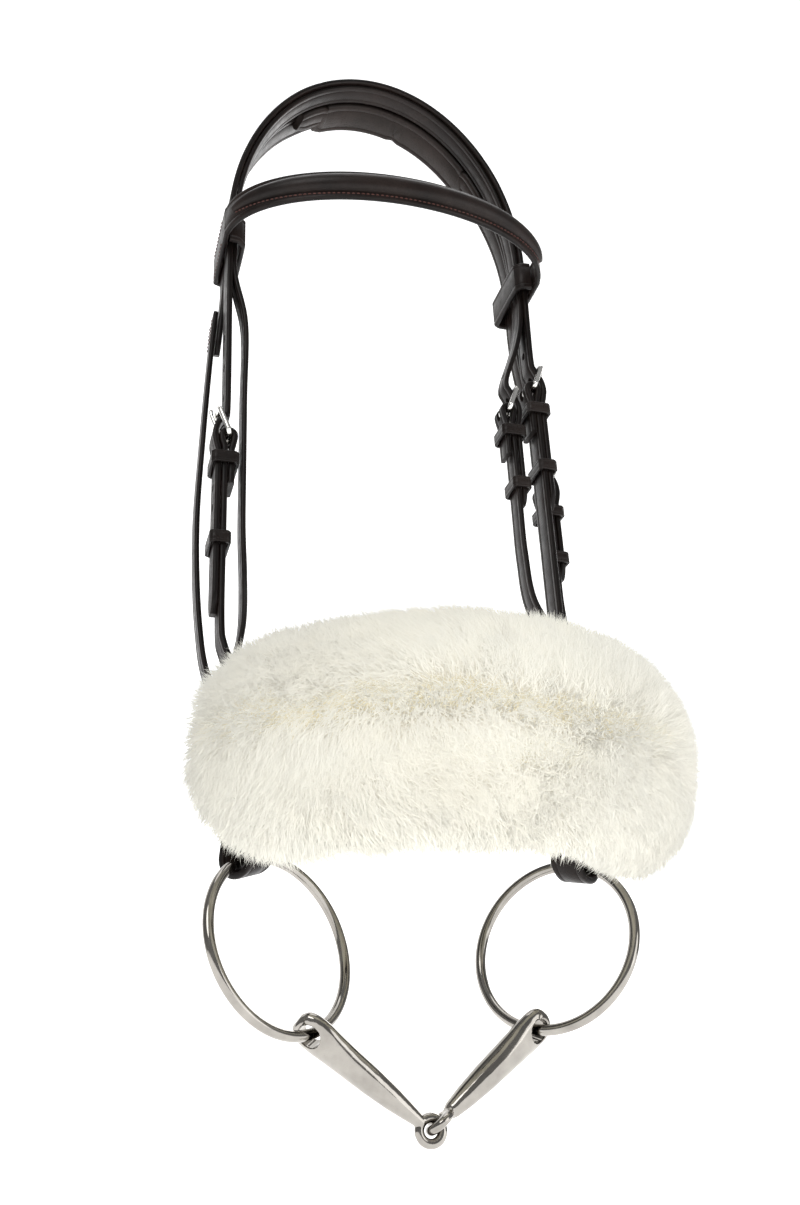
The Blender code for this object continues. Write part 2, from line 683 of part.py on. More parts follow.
def chin_strap():
    """From inside the nosepiece's left end, round behind to the buckle."""
    place = chin_place()
    inside = -(CHEEK_THICK / 2 + GAP + BILLET_THICK / 2)
    x = NOSE_RADIUS + inside
    lap = [Vector((-x, y, NOSE_Z)) for y in (-50.0, -36.0, NOSE_BACK_Y)]
    rear_y = CHIN_BUCKLE.y + 0.8
    around = spline([lap[-1], (-x, -8, NOSE_Z), (-76, 4, NOSE_Z + 1),
                     (-60, 10.8, CHIN_BUCKLE.z), (-46, rear_y, CHIN_BUCKLE.z)], 2)[1:]
    points = [*lap, *around, *spline(tail_points(place, 42.0), 2)]
    widths = pointed(len(points), CHIN_WIDTH, 3)
    piece = strap("chin_strap", points, UP, widths, BILLET_THICK)
    bore(piece, [tail_slot("chin_slot", place)])


def sheepskin_cover():
    """The sheepskin tube round the nosepiece, with the channel that the leather lies in."""
    outer = []
    for k in range(16):
        a = 2 * math.pi * k / 16
        outer.append((COVER_HALF_DEPTH * math.cos(a), COVER_HALF_HEIGHT * math.sin(a)))
    depth = CHANNEL_HALF_DEPTH
    inner = [(depth, CHANNEL_LOW), (depth, CHANNEL_HIGH), (-depth, CHANNEL_HIGH),
             (-depth, CHANNEL_LOW)]
    count = 17
    shells = []
    bm = bmesh.new()
    for i in range(count):
        angle = COVER_ENDS_DEG[0] + (COVER_ENDS_DEG[1] - COVER_ENDS_DEG[0]) * i / (count - 1)
        rise = Vector((0, 0, COVER_Z - NOSE_Z))
        shells.append([[bm.verts.new(nose_outer(angle, out) + rise + up * UP)
                        for out, up in shape] for shape in (outer, inner)])
    for one, two in zip(shells, shells[1:]):
        for ring_a, ring_b in zip(one, two):
            for k in range(len(ring_a)):
                nxt = (k + 1) % len(ring_a)
                bm.faces.new((ring_a[k], ring_a[nxt], ring_b[nxt], ring_b[k]))
    for shell in (shells[0], shells[-1]):
        edges = [bm.edges.get((ring[k], ring[(k + 1) % len(ring)]))
                 for ring in shell for k in range(len(ring))]
        bmesh.ops.triangle_fill(bm, edges=edges, use_beauty=True)
    pivot = Vector((0, NOSE_CENTRE_Y, COVER_Z))
    make_object("sheepskin_cover", bm, sheepskin(), origin=pivot)


def closure_strip():
    """The hook-and-loop strip that closes the cover on the side towards the horse."""
    out = -(COVER_HALF_DEPTH + GAP + STRIP_THICK / 2)
    points = [nose_outer(a, out) + Vector((0, 0, COVER_Z - NOSE_Z)) for a in range(-66, 67, 12)]
    strap("closure_strip", points, UP, STRIP_HEIGHT, STRIP_THICK, lining(),
          origin=(0, NOSE_CENTRE_Y, COVER_Z))


# ---- bit ----------------------------------------------------------------------------------
def bit_points(side):
    """The ring's hanging point, its joint with the mouthpiece, and the centre joint."""
    hang = mirrored(LOOP_TOP, side)
    hole = hang + 2 * RING_RADIUS * ring_axes(side)[0]
    lean = math.radians(MOUTH_LEAN_DEG)
    length = abs(hole.x) / math.sin(lean)
    centre = hole + length * Vector((-side * math.sin(lean), 0, -math.cos(lean)))
    return hang, hole, centre


def bit_ring(side):
    chord, normal, wire = ring_axes(side)
    hang = bit_points(side)[0]
    middle = hang + RING_RADIUS * chord
    count = 40
    points = []
    for k in range(count):
        a = 2 * math.pi * k / count
        points.append(middle + RING_RADIUS * (math.cos(a) * chord + math.sin(a) * wire))
    bm = bmesh.new()
    sweep(bm, points, [normal] * count, [round_section(RING_WIRE)] * count, closed=True)
    make_object(f"bit_ring_{side_name(side)}", bm, steel(), origin=hang)


def mouthpiece(side):
    """One half: a butt with the ring's hole, a tapered barrel and an eye at the centre."""
    _, hole, centre = bit_points(side)
    along = (centre - hole).normalized()
    wire = ring_axes(side)[2]
    axis = (wire - 0.5 * wire.dot(along) * along).normalized()
    flat = (axis - axis.dot(along) * along).normalized()
    broad = along.cross(flat)
    length = (centre - hole).length
    shape = [(-8.8, 2.6, 1.6), (-7.4, 5.8, 3.4), (-4.0, 8.2, 4.5), (0.0, 8.8, 4.8),
             (5.0, 8.8, 5.0), (11.0, 7.8, 5.6), (20.0, 6.9, 5.9), (32.0, 6.2, 5.6),
             (44.0, 5.0, 4.8), (52.0, 3.8, 3.8), (length - EYE_SET[side] - 4.2, 2.4, 2.4)]
    bm = bmesh.new()
    rings = []
    for s, a, b in shape:
        rings.append([bm.verts.new(hole + s * along + a * math.cos(t) * broad
                                   + b * math.sin(t) * flat)
                      for t in (2 * math.pi * k / 12 for k in range(12))])
    for one, two in zip(rings, rings[1:]):
        for k in range(12):
            nxt = (k + 1) % 12
            bm.faces.new((one[k], one[nxt], two[nxt], two[k]))
    bm.faces.new(rings[0][::-1])
    bm.faces.new(rings[-1])
    name = f"mouthpiece_{side_name(side)}"
    half = make_object(name, bm, steel(), origin=hole)

    middle = centre - EYE_SET[side] * along
    aside = BACK if side > 0 else along.cross(BACK)
    count = 20
    loop = [middle + EYE_RADIUS * (math.cos(a) * along + math.sin(a) * aside)
            for a in (2 * math.pi * k / count for k in range(count))]
    bm = bmesh.new()
    facing = along.cross(aside)
    sweep(bm, loop, [facing] * count, [round_section(EYE_WIRE)] * count, closed=True)
    eye = make_object(f"eye_{side}", bm, steel())
    bore(half, [eye], "UNION")
    bore(half, [hole_cutter(f"butt_hole_{side}", hole, axis, HOLE_RADIUS, 40.0, 16)])


def main():
    clear_scene()
    headpiece()
    poll_pad()
    browband()
    browband_padding()
    headstrap()
    noseband_cheek_strap()
    throatlash()
    nosepiece()
    chin_strap()
    sheepskin_cover()
    closure_strip()
    for side in (-1, 1):
        cheekpiece(side)
        buckle_set(f"cheek_{side_name(side)}", cheek_place(side), CHEEK_WIDTH,
                   CHEEK_RUNNER[side])
        bit_ring(side)
        mouthpiece(side)
    buckle_set("headstrap", slip_place(), SLIP_WIDTH, -50.0)
    buckle_set("throatlash", throat_place(), THROAT_WIDTH, -46.0)
    chin = chin_place()
    buckle("chin_buckle", chin, CHIN_WIDTH)
    tongue("chin_buckle_tongue", chin)
    keeper("chin_keeper", chin, KEEPER_AT, CHIN_WIDTH, -3.5, 6.85)
    bpy.context.view_layer.update()


main()
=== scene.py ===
"""Looks of the snaffle bridle: leather, stitching, buckles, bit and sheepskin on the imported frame.

Paths and sizes are in millimetres and become metres where a mesh is made. Each strap follows
the same line as its solid in the frame, with a finer section, creased edges and round corners.
"""
import json
import math

import bmesh
import bpy
import numpy as np
from mathutils import Matrix, Vector, kdtree, noise


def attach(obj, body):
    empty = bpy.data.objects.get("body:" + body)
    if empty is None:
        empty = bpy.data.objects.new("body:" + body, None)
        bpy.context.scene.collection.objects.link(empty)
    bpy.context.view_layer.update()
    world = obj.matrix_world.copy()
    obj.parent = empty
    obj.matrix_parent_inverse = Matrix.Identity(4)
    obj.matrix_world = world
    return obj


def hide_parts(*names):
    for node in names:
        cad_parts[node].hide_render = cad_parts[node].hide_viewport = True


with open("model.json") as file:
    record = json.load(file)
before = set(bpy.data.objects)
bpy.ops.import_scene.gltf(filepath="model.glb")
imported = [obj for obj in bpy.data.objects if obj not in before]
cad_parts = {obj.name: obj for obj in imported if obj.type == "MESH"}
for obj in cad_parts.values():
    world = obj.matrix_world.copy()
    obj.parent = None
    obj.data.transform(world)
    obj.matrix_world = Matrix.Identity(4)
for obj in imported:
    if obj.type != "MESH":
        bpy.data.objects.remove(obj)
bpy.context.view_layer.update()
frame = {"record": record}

MM = 0.001
UP = Vector((0, 0, 1))
BACK = Vector((0, 1, 0))
BODY_OF = {node: body for body, nodes in frame["record"]["behaviour"]["bodies"].items()
           for node in nodes}

# ---- sizes shared with the frame ----------------------------------------------------------
ARCH_HALF, ARCH_RISE = 85.5, 130.0
SEAT_LIFT = ARCH_RISE * (1 - math.cos(math.radians(90 / 21)))
HEAD_OFFSET, HEAD_THICK = 6.4, 3.2
SHIFT_DEG, SLIT_START_DEG, SLIT_HALF = 14.0, 36.0, 1.5
CROWN_HALF, LEGS_FRONT, LEGS_REAR = 19.0, -17.5, 14.5
PAD_OFFSET, PAD_THICK, PAD_FRONT_Y, PAD_REAR_Y, PAD_STEP_Y = 2.25, 4.5, -3.0, 19.0, 12.0
PAD_STEP_DEG, PAD_END_DEG, NOTCH_RADIUS = 33.0, 46.0, 3.6
SLIP_OFFSET, SLIP_THICK, SLIP_WIDTH = 3.1, 2.8, 13.0
BROW_Z, BROW_HALF, BROW_DEPTH, BROW_BACK_Y = -140.0, 95.7, 51.0, -24.0
BROW_HEIGHT, BROW_THICK, LOOP_INNER_X, LOOP_REAR_Y = 19.5, 3.0, 85.0, 16.8
ROLL_HEIGHT, ROLL_BULGE, ROLL_END_DEG = 12.0, 4.2, 74.0
CHEEK_WIDTH, CHEEK_THICK, BILLET_THICK, CHEEK_Y, CHEEK_X = 16.0, 3.2, 3.0, -9.5, 90.5
CHEEK_BUCKLE_Z = {-1: -277.0, 1: -219.0}
CHEEK_TAIL = {-1: 104.0, 1: 80.0}
CHEEK_RUNNER = {-1: -63.0, 1: -54.0}
THROAT_Y, THROAT_WIDTH, THROAT_THICK = 8.0, 13.0, 2.8
GAP, WIRE, LAYER, FOLD_END = 0.35, 1.5, 1.8, -30.0
TOE = (15.0, 5.6)
KEEPER_THICK, KEEPER_AT, KEEPER_WIDTH = 1.8, -15.0, 7.0
NOSE_RADIUS, NOSE_CENTRE_Y, NOSE_Z, NOSE_WIDTH, NOSE_THICK = 88.0, -47.0, -455.0, 28.0, 4.0
NOSE_BACK_Y, CHIN_WIDTH = -24.0, 16.0
COVER_ENDS_DEG, COVER_Z, COVER_DEPTH, COVER_HEIGHT = (-77.0, 83.0), -473.0, 31.0, 41.0
RING_RADIUS, RING_WIRE, RING_LEAN_DEG, MOUTH_LEAN_DEG = 40.0, 2.5, 21.5, 51.5
LOOP_TOP = Vector((80.0, -28.0, -508.0))
RING_TURN = {-1: (0.56, 0.83), 1: (0.78, 0.63)}
LEATHER_LOOP, LOOP_LIFT, HOLE_RADIUS = 7.4, 2.5, 5.2
EYE_RADIUS, EYE_WIRE = 5.2, 2.2
EYE_SET = {-1: 0.0, 1: 5.2}

# ---- sheepskin ----------------------------------------------------------------------------
PILE = 11.0               # from the skin to the CAD tube's outer side
WOOL_STRETCH = 1.4        # the longest wool's length, in piles
END_STRETCH = 0.35        # how much longer it is at the cover's two ends
CLIPPED = 0.88            # share of its length that is cut off towards the horse
END_LIFT = 6.0            # the skin's top edge rises this much at the ends
BELLY = 4.0               # its lower edge hangs this much lower everywhere
SAG = 8.0                 # and this much more in the middle
CREASE_DEPTH = 0.2        # share of the radius lost where the pile parts
CREASE_TURN, CREASE_LEAN = -4.0, -0.2    # its angle in the section, and per degree round
TUFTS = 700
LOCKS_PER_PIECE = 22000   # locks of wool in one mesh
FUR_PIECES = 8


# ---- materials ----------------------------------------------------------------------------
class Nodes:
    """A material's node tree with short ways to add and join nodes."""

    def __init__(self, name):
        self.mat = bpy.data.materials.new(name)
        self.mat.use_nodes = True
        self.tree = self.mat.node_tree
        self.shader = self.tree.nodes["Principled BSDF"]
        coords = self.tree.nodes.new("ShaderNodeTexCoord")
        self.coords = coords.outputs["Object"]

    def add(self, kind, **inputs):
        node = self.tree.nodes.new("ShaderNode" + kind)
        for name, value in inputs.items():
            self.set(node, name.replace("_", " "), value)
        return node

    def set(self, node, name, value):
        socket = node.inputs[name]
        if isinstance(value, bpy.types.NodeSocket):
            self.tree.links.new(value, socket)
        else:
            socket.default_value = value

    def noise(self, scale, detail=4.0, rough=0.55):
        return self.add("TexNoise", Vector=self.coords, Scale=scale, Detail=detail,
                        Roughness=rough).outputs["Fac"]

    def ramp(self, value, *stops):
        node = self.add("ValToRGB", Fac=value)
        while len(node.color_ramp.elements) < len(stops):
            node.color_ramp.elements.new(0.5)
        for element, (place, colour) in zip(node.color_ramp.elements, stops):
            element.position = place
            element.color = (*colour, 1.0)
        return node.outputs["Color"]

    def span(self, value, low, high, start=0.0, end=1.0):
        node = self.add("MapRange", Value=value, From_Min=start, From_Max=end, To_Min=low,
                        To_Max=high)
        return node.outputs["Result"]

    def maths(self, operation, one, two):
        node = self.tree.nodes.new("ShaderNodeMath")
        node.operation = operation
        self.set(node, 0, one)
        self.set(node, 1, two)
        return node.outputs[0]

    def mix(self, share, one, two):
        node = self.tree.nodes.new("ShaderNodeMix")
        node.data_type = "RGBA"
        for index, value in ((0, share), (6, one), (7, two)):
            if isinstance(value, bpy.types.NodeSocket):
                self.tree.links.new(value, node.inputs[index])
            else:
                node.inputs[index].default_value = value if index == 0 else (*value, 1.0)
        return node.outputs[2]

    def attribute(self, name):
        node = self.tree.nodes.new("ShaderNodeAttribute")
        node.attribute_name = name
        return node.outputs["Fac"]

    def bump(self, height, strength, distance, normal=None):
        node = self.add("Bump", Height=height, Strength=strength, Distance=distance)
        if normal:
            self.set(node, "Normal", normal)
        return node.outputs["Normal"]

    def finish(self, **inputs):
        for name, value in inputs.items():
            self.set(self.shader, name.replace("_", " "), value)
        return self.mat


def leather_material(name, dark, light, rough, grain):
    """Waxed leather: pored grain, cloudy dye, dark burnished edges."""
    n = Nodes(name)
    cloud = n.noise(38.0, 3.0)
    dye = n.ramp(cloud, (0.3, dark), (0.72, light))
    cells = n.add("TexVoronoi", Vector=n.coords, Scale=grain)
    pores = n.span(cells.outputs["Distance"], 0.0, 1.0, 0.0, 0.55)
    dye = n.mix(n.span(pores, 0.45, 0.0), dye, tuple(c * 0.45 for c in dark))
    rim = n.attribute("rim")
    dye = n.mix(n.span(rim, 0.0, 0.75, 0.55), dye, tuple(c * 0.3 for c in dark))
    scuff = n.noise(190.0, 5.0, 0.7)
    roughness = n.maths("ADD", n.span(scuff, rough - 0.09, rough + 0.11, 0.3, 0.7),
                        n.span(pores, 0.07, 0.0))
    fine = n.bump(n.noise(2600.0, 2.0), 0.16, 0.00012)
    normal = n.bump(pores, 0.3, 0.00022, fine)
    normal = n.bump(cloud, 0.25, 0.0009, normal)
    return n.finish(Base_Color=dye, Roughness=roughness, Normal=normal, Specular_IOR_Level=0.16,
                    Coat_Weight=0.035, Coat_Roughness=0.2)


def metal_material(name, dark, light, low, high):
    """Polished metal with faint buffing marks and slightly cloudy polish."""
    n = Nodes(name)
    cloud = n.noise(60.0, 4.0)
    marks = n.noise(900.0, 3.0, 0.7)
    colour = n.ramp(cloud, (0.3, dark), (0.7, light))
    roughness = n.maths("ADD", n.span(cloud, low, high, 0.3, 0.7),
                        n.span(marks, -0.02, 0.03, 0.3, 0.7))
    normal = n.bump(marks, 0.035, 0.00008)
    return n.finish(Base_Color=colour, Roughness=roughness, Normal=normal, Metallic=1.0)


def thread_material():
    """Waxed linen thread: twisted strands seen as fine bands."""
    n = Nodes("stitching_thread")
    bands = n.add("TexWave", Vector=n.coords, Scale=700.0, Distortion=1.5)
    colour = n.ramp(bands.outputs["Fac"], (0.2, (0.035, 0.012, 0.009)),
                    (0.8, (0.12, 0.036, 0.026)))
    normal = n.bump(bands.outputs["Fac"], 0.5, 0.0002)
    return n.finish(Base_Color=colour, Roughness=0.6, Normal=normal)


def skin_material():
    """The woolly skin between the tufts."""
    n = Nodes("sheepskin_skin")
    cloud = n.noise(45.0, 4.0)
    curls = n.noise(420.0, 5.0, 0.7)
    colour = n.ramp(cloud, (0.3, (0.78, 0.72, 0.58)), (0.7, (0.86, 0.82, 0.71)))
    colour = n.mix(n.span(curls, 0.25, 0.0, 0.3, 0.6), colour, (0.62, 0.55, 0.41))
    normal = n.bump(curls, 0.8, 0.002)
    return n.finish(Base_Color=colour, Roughness=0.95, Normal=normal, Sheen_Weight=0.3)


def wool_material():
    """Ivory wool: tan at the roots, white at the tips; tan with painted shade in the partings, and a
    faint painted glow.
    """
    n = Nodes("sheepskin_wool")
    cloud = n.noise(22.0, 3.0)
    colour = n.ramp(n.attribute("tip"), (0.0, (0.66, 0.60, 0.48)), (0.5, (0.74, 0.715, 0.63)),
                    (1.0, (0.755, 0.745, 0.67)))
    colour = n.mix(n.span(cloud, 0.35, 0.0, 0.35, 0.62), colour, (0.75, 0.71, 0.59))
    # Tan in the partings: partly the roots' own colour showing where the pile parts, partly painted
    # shade darkening the crease.
    colour = n.mix(n.span(n.attribute("crease_tan_and_shade"), 0.0, 0.9, 0.3, 0.95), colour,
                   (0.60, 0.50, 0.25))
    normal = n.bump(n.noise(1500.0, 2.0), 0.12, 0.0003)
    # The emission is a painted glow: the wool gives off light of its own, which lifts its shade and
    # stands in for light scattered through it.
    return n.finish(Base_Color=colour, Roughness=0.9, Normal=normal, Sheen_Weight=0.2,
                    Sheen_Roughness=0.5, Specular_IOR_Level=0.12,
                    Emission_Color=(0.91, 0.90, 0.81, 1.0), Emission_Strength=0.24)


LEATHER = leather_material("bridle_leather", (0.007, 0.005, 0.0044), (0.020, 0.0135, 0.0115),
                           0.36, 950.0)
SATIN = leather_material("keeper_leather", (0.009, 0.0068, 0.006), (0.024, 0.018, 0.016),
                         0.30, 1300.0)
LINING = leather_material("lining_leather", (0.012, 0.0085, 0.007), (0.026, 0.018, 0.0155),
                          0.46, 750.0)
NICKEL = metal_material("buckle_nickel", (0.80, 0.79, 0.76), (0.90, 0.89, 0.86), 0.10, 0.2)
STEEL = metal_material("bit_steel", (0.25, 0.235, 0.215), (0.38, 0.36, 0.33), 0.07, 0.14)
THREAD = thread_material()
SKIN = skin_material()
WOOL = wool_material()


# ---- mesh tools ---------------------------------------------------------------------------
def place_piece(obj, node, replaced=()):
    """The piece rides on its node's body. It stands for the replaced nodes."""
    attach(obj, BODY_OF[node])
    if replaced:
        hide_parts(*replaced)
    return obj


def mesh_object(name, verts, faces, mat, smooth_deg=40.0, values=None):
    """A mesh object in the row frame from millimetres. values is (name, one per vertex)."""
    mesh = bpy.data.meshes.new(name)
    mesh.from_pydata((np.asarray(verts, float) * MM).tolist(), [], faces)
    mesh.materials.append(mat)
    mesh.shade_smooth()
    mesh.set_sharp_from_angle(angle=math.radians(smooth_deg))
    if values:
        layer = mesh.attributes.new(values[0], "FLOAT", "POINT")
        layer.data.foreach_set("value", np.asarray(values[1], np.float32).ravel())
    obj = bpy.data.objects.new(name, mesh)
    bpy.context.scene.collection.objects.link(obj)
    return obj


def turn_faces_out(obj):
    bm = bmesh.new()
    bm.from_mesh(obj.data)
    bmesh.ops.recalc_face_normals(bm, faces=bm.faces)
    bm.to_mesh(obj.data)
    bm.free()


def wall_faces(rows, size, closed=False, base=0):
    """Quads between rings of size vertices; closed joins the last ring to the first."""
    faces = []
    for i in range(rows if closed else rows - 1):
        one, two = base + i * size, base + (i + 1) % rows * size
        faces += [(one + k, one + (k + 1) % size, two + (k + 1) % size, two + k)
                  for k in range(size)]
    return faces


def smooth_path(control, spacing=1.3, closed=False):
    """Evenly spaced rows (x, y, z, width) on a smooth curve through the control rows."""
    rows = np.array(control, float)
    if closed:
        rows = np.vstack([rows[-1:], rows, rows[:2]])
    else:
        rows = np.vstack([2 * rows[0] - rows[1], rows, 2 * rows[-1] - rows[-2]])
    dense = []
    for a, b, c, d in zip(rows, rows[1:], rows[2:], rows[3:]):
        for t in np.arange(0, 1, 0.1):
            dense.append(0.5 * (2 * b + (c - a) * t + (2 * a - 5 * b + 4 * c - d) * t * t
                                + (3 * b - a - 3 * c + d) * t ** 3))
    dense.append(rows[-2])
    dense = np.array(dense)
    steps = np.linalg.norm(np.diff(dense[:, :3], axis=0), axis=1)
    reach = np.concatenate([[0], np.cumsum(steps)])
    count = max(3, int(reach[-1] / spacing))
    marks = np.linspace(0, reach[-1], count + 1)
    if closed:
        marks = marks[:-1]
    return np.stack([np.interp(marks, reach, dense[:, k]) for k in range(4)], axis=1)


def strap_section(width, thick, edge, crease):
    """A strap's section with round edges and, near them, a tooled crease on both faces."""
    w, t = width / 2, thick / 2
    e = min(edge, 0.48 * thick, 0.45 * width)
    inset, half, depth = min(2.0, 0.3 * w), min(0.45, 0.08 * w), crease
    arcs = [math.radians(a) for a in (0, 30, 60, 90)]
    right = [(w - e + e * math.sin(a), t - e + e * math.cos(a)) for a in arcs]
    groove = [(w - e - inset + half, t), (w - e - inset, t - depth),
              (w - e - inset - half, t)]
    top = [*[(-x, y) for x, y in groove], *groove[::-1], *right]
    top = [*[(-x, y) for x, y in right[::-1]], *top]
    return [*top, *[(x, -y) for x, y in top[::-1]]]


def round_section(radius, sides=14):
    turns = [2 * math.pi * k / sides for k in range(sides)]
    return [(radius * math.cos(a), radius * math.sin(a)) for a in turns]


def sweep(name, points, across, sections, mat, closed=False, rims=None, smooth_deg=40.0):
    """Carry sections along points; across is the sections' first axis at each point."""
    points = np.asarray(points, float)
    across = np.asarray(across, float)
    if closed:
        along = np.roll(points, -1, axis=0) - np.roll(points, 1, axis=0)
    else:
        along = np.gradient(points, axis=0)
    along /= np.linalg.norm(along, axis=1, keepdims=True)
    normal = np.cross(along, across)
    normal /= np.linalg.norm(normal, axis=1, keepdims=True)
    side = np.cross(normal, along)
    sections = np.asarray(sections, float)
    verts = (points[:, None] + sections[:, :, :1] * side[:, None]
             + sections[:, :, 1:] * normal[:, None])
    rows, size = verts.shape[:2]
    faces = wall_faces(rows, size, closed)
    if not closed:
        faces += [tuple(range(size))[::-1], tuple(range((rows - 1) * size, rows * size))]
    values = ("rim", rims) if rims is not None else None
    obj = mesh_object(name, verts.reshape(-1, 3), faces, mat, smooth_deg, values)
    turn_faces_out(obj)
    return obj


def strap(name, path, across, thick, mat=None, tip=0.0, closed=False, edge=1.1, crease=0.22):
    """A flat strap along path rows (x, y, z, width). across is a vector or a function of a
    point. tip is the length of the rounded point at the path's end."""
    points = path[:, :3]
    widths = path[:, 3].copy()
    if tip:
        left = np.concatenate([np.cumsum(np.linalg.norm(np.diff(points[::-1], axis=0),
                                                        axis=1))[::-1], [0.0]])
        share = np.clip((left + 0.5) / tip, 0, 1)
        widths *= np.sqrt(1 - (1 - share) ** 2)
    sides = [across(p) if callable(across) else across for p in points]
    sections = [strap_section(w, thick, edge, crease) for w in widths]
    rims = [[min(1.0, abs(a) / (w / 2)) ** 10 for a, _ in s] for s, w in zip(sections, widths)]
    return sweep(name, points, [tuple(s) for s in sides], sections, mat or LEATHER, closed,
                 rims)


def widths_of(points, width):
    """Path rows with one width."""
    return [(*p, width) for p in points]


def carve(obj, holes):
    """Cut round or long holes: each is (centre, axis, radius, half length across, its axis)."""
    bm = bmesh.new()
    for centre, axis, radius, stretch, long_axis in holes:
        z = Vector(axis).normalized()
        x = (Vector(long_axis) - Vector(long_axis).dot(z) * z).normalized()
        turn = Matrix([x, z.cross(x), z]).transposed()
        made = bmesh.ops.create_cone(bm, cap_ends=True, segments=20, radius1=radius,
                                     radius2=radius, depth=24.0)
        for vert in made["verts"]:
            vert.co.x += math.copysign(stretch, vert.co.x) if abs(vert.co.x) > 1e-6 else 0
            vert.co = (Vector(centre) + turn @ vert.co) * MM
    mesh = bpy.data.meshes.new("hole_guide")
    bm.to_mesh(mesh)
    bm.free()
    cutter = bpy.data.objects.new("hole_guide", mesh)
    bpy.context.scene.collection.objects.link(cutter)
    mod = obj.modifiers.new("holes", "BOOLEAN")
    mod.operation, mod.solver, mod.object = "DIFFERENCE", "MANIFOLD", cutter
    apply_modifiers(obj)
    bpy.data.objects.remove(cutter)


def apply_modifiers(obj):
    bpy.context.view_layer.update()
    seen = obj.evaluated_get(bpy.context.evaluated_depsgraph_get())
    mesh = bpy.data.meshes.new_from_object(seen)
    obj.modifiers.clear()
    obj.data = mesh


def stitches(name, line, outward, node, length=2.3, pitch=3.2, radius=0.36):
    """A row of thread stitches along a line; outward is the surface normal at each point."""
    line, outward = np.asarray(line, float), np.asarray(outward, float)
    reach = np.concatenate([[0], np.cumsum(np.linalg.norm(np.diff(line, axis=0), axis=1))])
    verts, faces = [], []
    for start in np.arange(pitch / 2, reach[-1] - length, pitch):
        marks = start + length * np.array([0, 0.12, 0.35, 0.65, 0.88, 1.0])
        fat = radius * np.array([0.35, 0.8, 1.0, 1.0, 0.8, 0.35])
        sunk = radius * np.array([-1.0, -0.1, 0.35, 0.35, -0.1, -1.0])
        mid = np.stack([np.interp(marks, reach, line[:, k]) for k in range(3)], axis=1)
        out = np.stack([np.interp(marks, reach, outward[:, k]) for k in range(3)], axis=1)
        along = (mid[-1] - mid[0]) / np.linalg.norm(mid[-1] - mid[0])
        base = len(verts)
        for k in range(len(marks)):
            side = np.cross(along, out[k])
            for turn in range(6):
                a = math.pi * turn / 3
                verts.append(mid[k] + out[k] * (sunk[k] + fat[k] * math.sin(a))
                             + side * fat[k] * math.cos(a))
        faces += wall_faces(len(marks), 6, base=base)
        faces += [tuple(base + j for j in range(5, -1, -1)),
                  tuple(base + 6 * len(marks) - 6 + j for j in range(6))]
    obj = mesh_object(name, verts, faces, THREAD, 60.0)
    return place_piece(obj, node)


class Place:
    """A buckle's local frame: heel bar at the origin, u to the toe bar, n out of the strap."""

    def __init__(self, origin, u, n):
        self.origin, self.u, self.n = Vector(origin), Vector(u), Vector(n)
        self.w = self.u.cross(self.n)

    def at(self, u, n, w=0.0):
        return self.origin + self.u * u + self.n * n + self.w * w


def side_name(side):
    return "left" if side < 0 else "right"


def mirrored(vector, side):
    return Vector((side * vector[0], vector[1], vector[2]))


# ---- buckles and keepers ------------------------------------------------------------------
def fold_points(place, end):
    """A strap's end folded round a heel bar, from the fold's tip out to the main layer."""
    radius = WIRE + GAP + CHEEK_THICK / 2
    arc = [(radius * math.cos(a), radius * math.sin(a))
           for a in (math.radians(d) for d in (-90, -45, 0, 45, 90))]
    path = [(end, -LAYER), (end / 2, -LAYER), (-9.0, -LAYER), (-4.5, -2.8), *arc,
            (-4.5, 2.8), (-9.0, LAYER)]
    return [place.at(u, n) for u, n in path]


def tail_points(place, length, lead=22.0):
    """A billet's way under the toe bar, over the fold and down through the keepers."""
    path = [(lead, 0.8), (13.5, 2.3), (6.5, 5.9), (0.0, 7.05), (-5.0, 6.4), (-10.5, 5.3),
            (-20.0, 5.3), (-30.0, 5.3), (-length + 12.0, 5.3), (-length, 5.3)]
    return [place.at(u, n) for u, n in path]


def corner_loop(half, low, high, corner, at):
    """A closed rectangle with round corners; at(w, n) gives a point."""
    points = []
    for cw, cn, start in ((half - corner, low + corner, -90), (half - corner, high - corner, 0),
                          (-half + corner, high - corner, 90), (-half + corner, low + corner, 180)):
        for step in range(0, 91, 15):
            angle = math.radians(start + step)
            points.append(at(cw + corner * math.cos(angle), cn + corner * math.sin(angle)))
    return points


def buckle(node, place, width):
    half = width / 2 + 0.6 + WIRE
    reach = math.hypot(*TOE)
    out = Vector((TOE[0] / reach, TOE[1] / reach))
    points = corner_loop(half, 0.0, reach, 2.4,
                         lambda w, v: place.at(out.x * v, out.y * v, w))
    path = smooth_path(widths_of(points, 1.0), 0.8, closed=True)
    facing = (place.n * out.x - place.u * out.y).normalized()
    obj = sweep(node + "_frame", path[:, :3], [tuple(facing)] * len(path),
                [round_section(WIRE)] * len(path), NICKEL, closed=True)
    place_piece(obj, node, [node])


def tongue(node, place):
    radius = WIRE + 1.5
    arc = [(radius * math.cos(a), radius * math.sin(a))
           for a in (math.radians(d) for d in (-10, -55, -100, -145, -190, -235, -255))]
    path = [*arc, (7.0, 5.6), (12.5, 7.8), (16.2, 9.0), (18.6, 9.0)]
    rows = smooth_path([(*place.at(u, n), 3.1) for u, n in path], 0.7)
    obj = strap(node + "_pin", rows, tuple(place.w), 2.0, NICKEL, tip=1.6, edge=0.95,
                crease=0.0)
    place_piece(obj, node, [node])


def keeper(node, place, u, width, low, high, wide=KEEPER_WIDTH):
    """A leather loop round the layers between low and high."""
    slack = 0.45
    half = width / 2 + slack + KEEPER_THICK / 2
    low -= slack + KEEPER_THICK / 2
    high += slack + KEEPER_THICK / 2
    points = corner_loop(half, low, high, 1.9, lambda w, n: place.at(u, n, w))
    rows = smooth_path(widths_of(points, wide), 0.7, closed=True)
    obj = strap(node + "_loop", rows, tuple(place.u), KEEPER_THICK, SATIN, closed=True,
                edge=0.6, crease=0.12)
    place_piece(obj, node, [node])


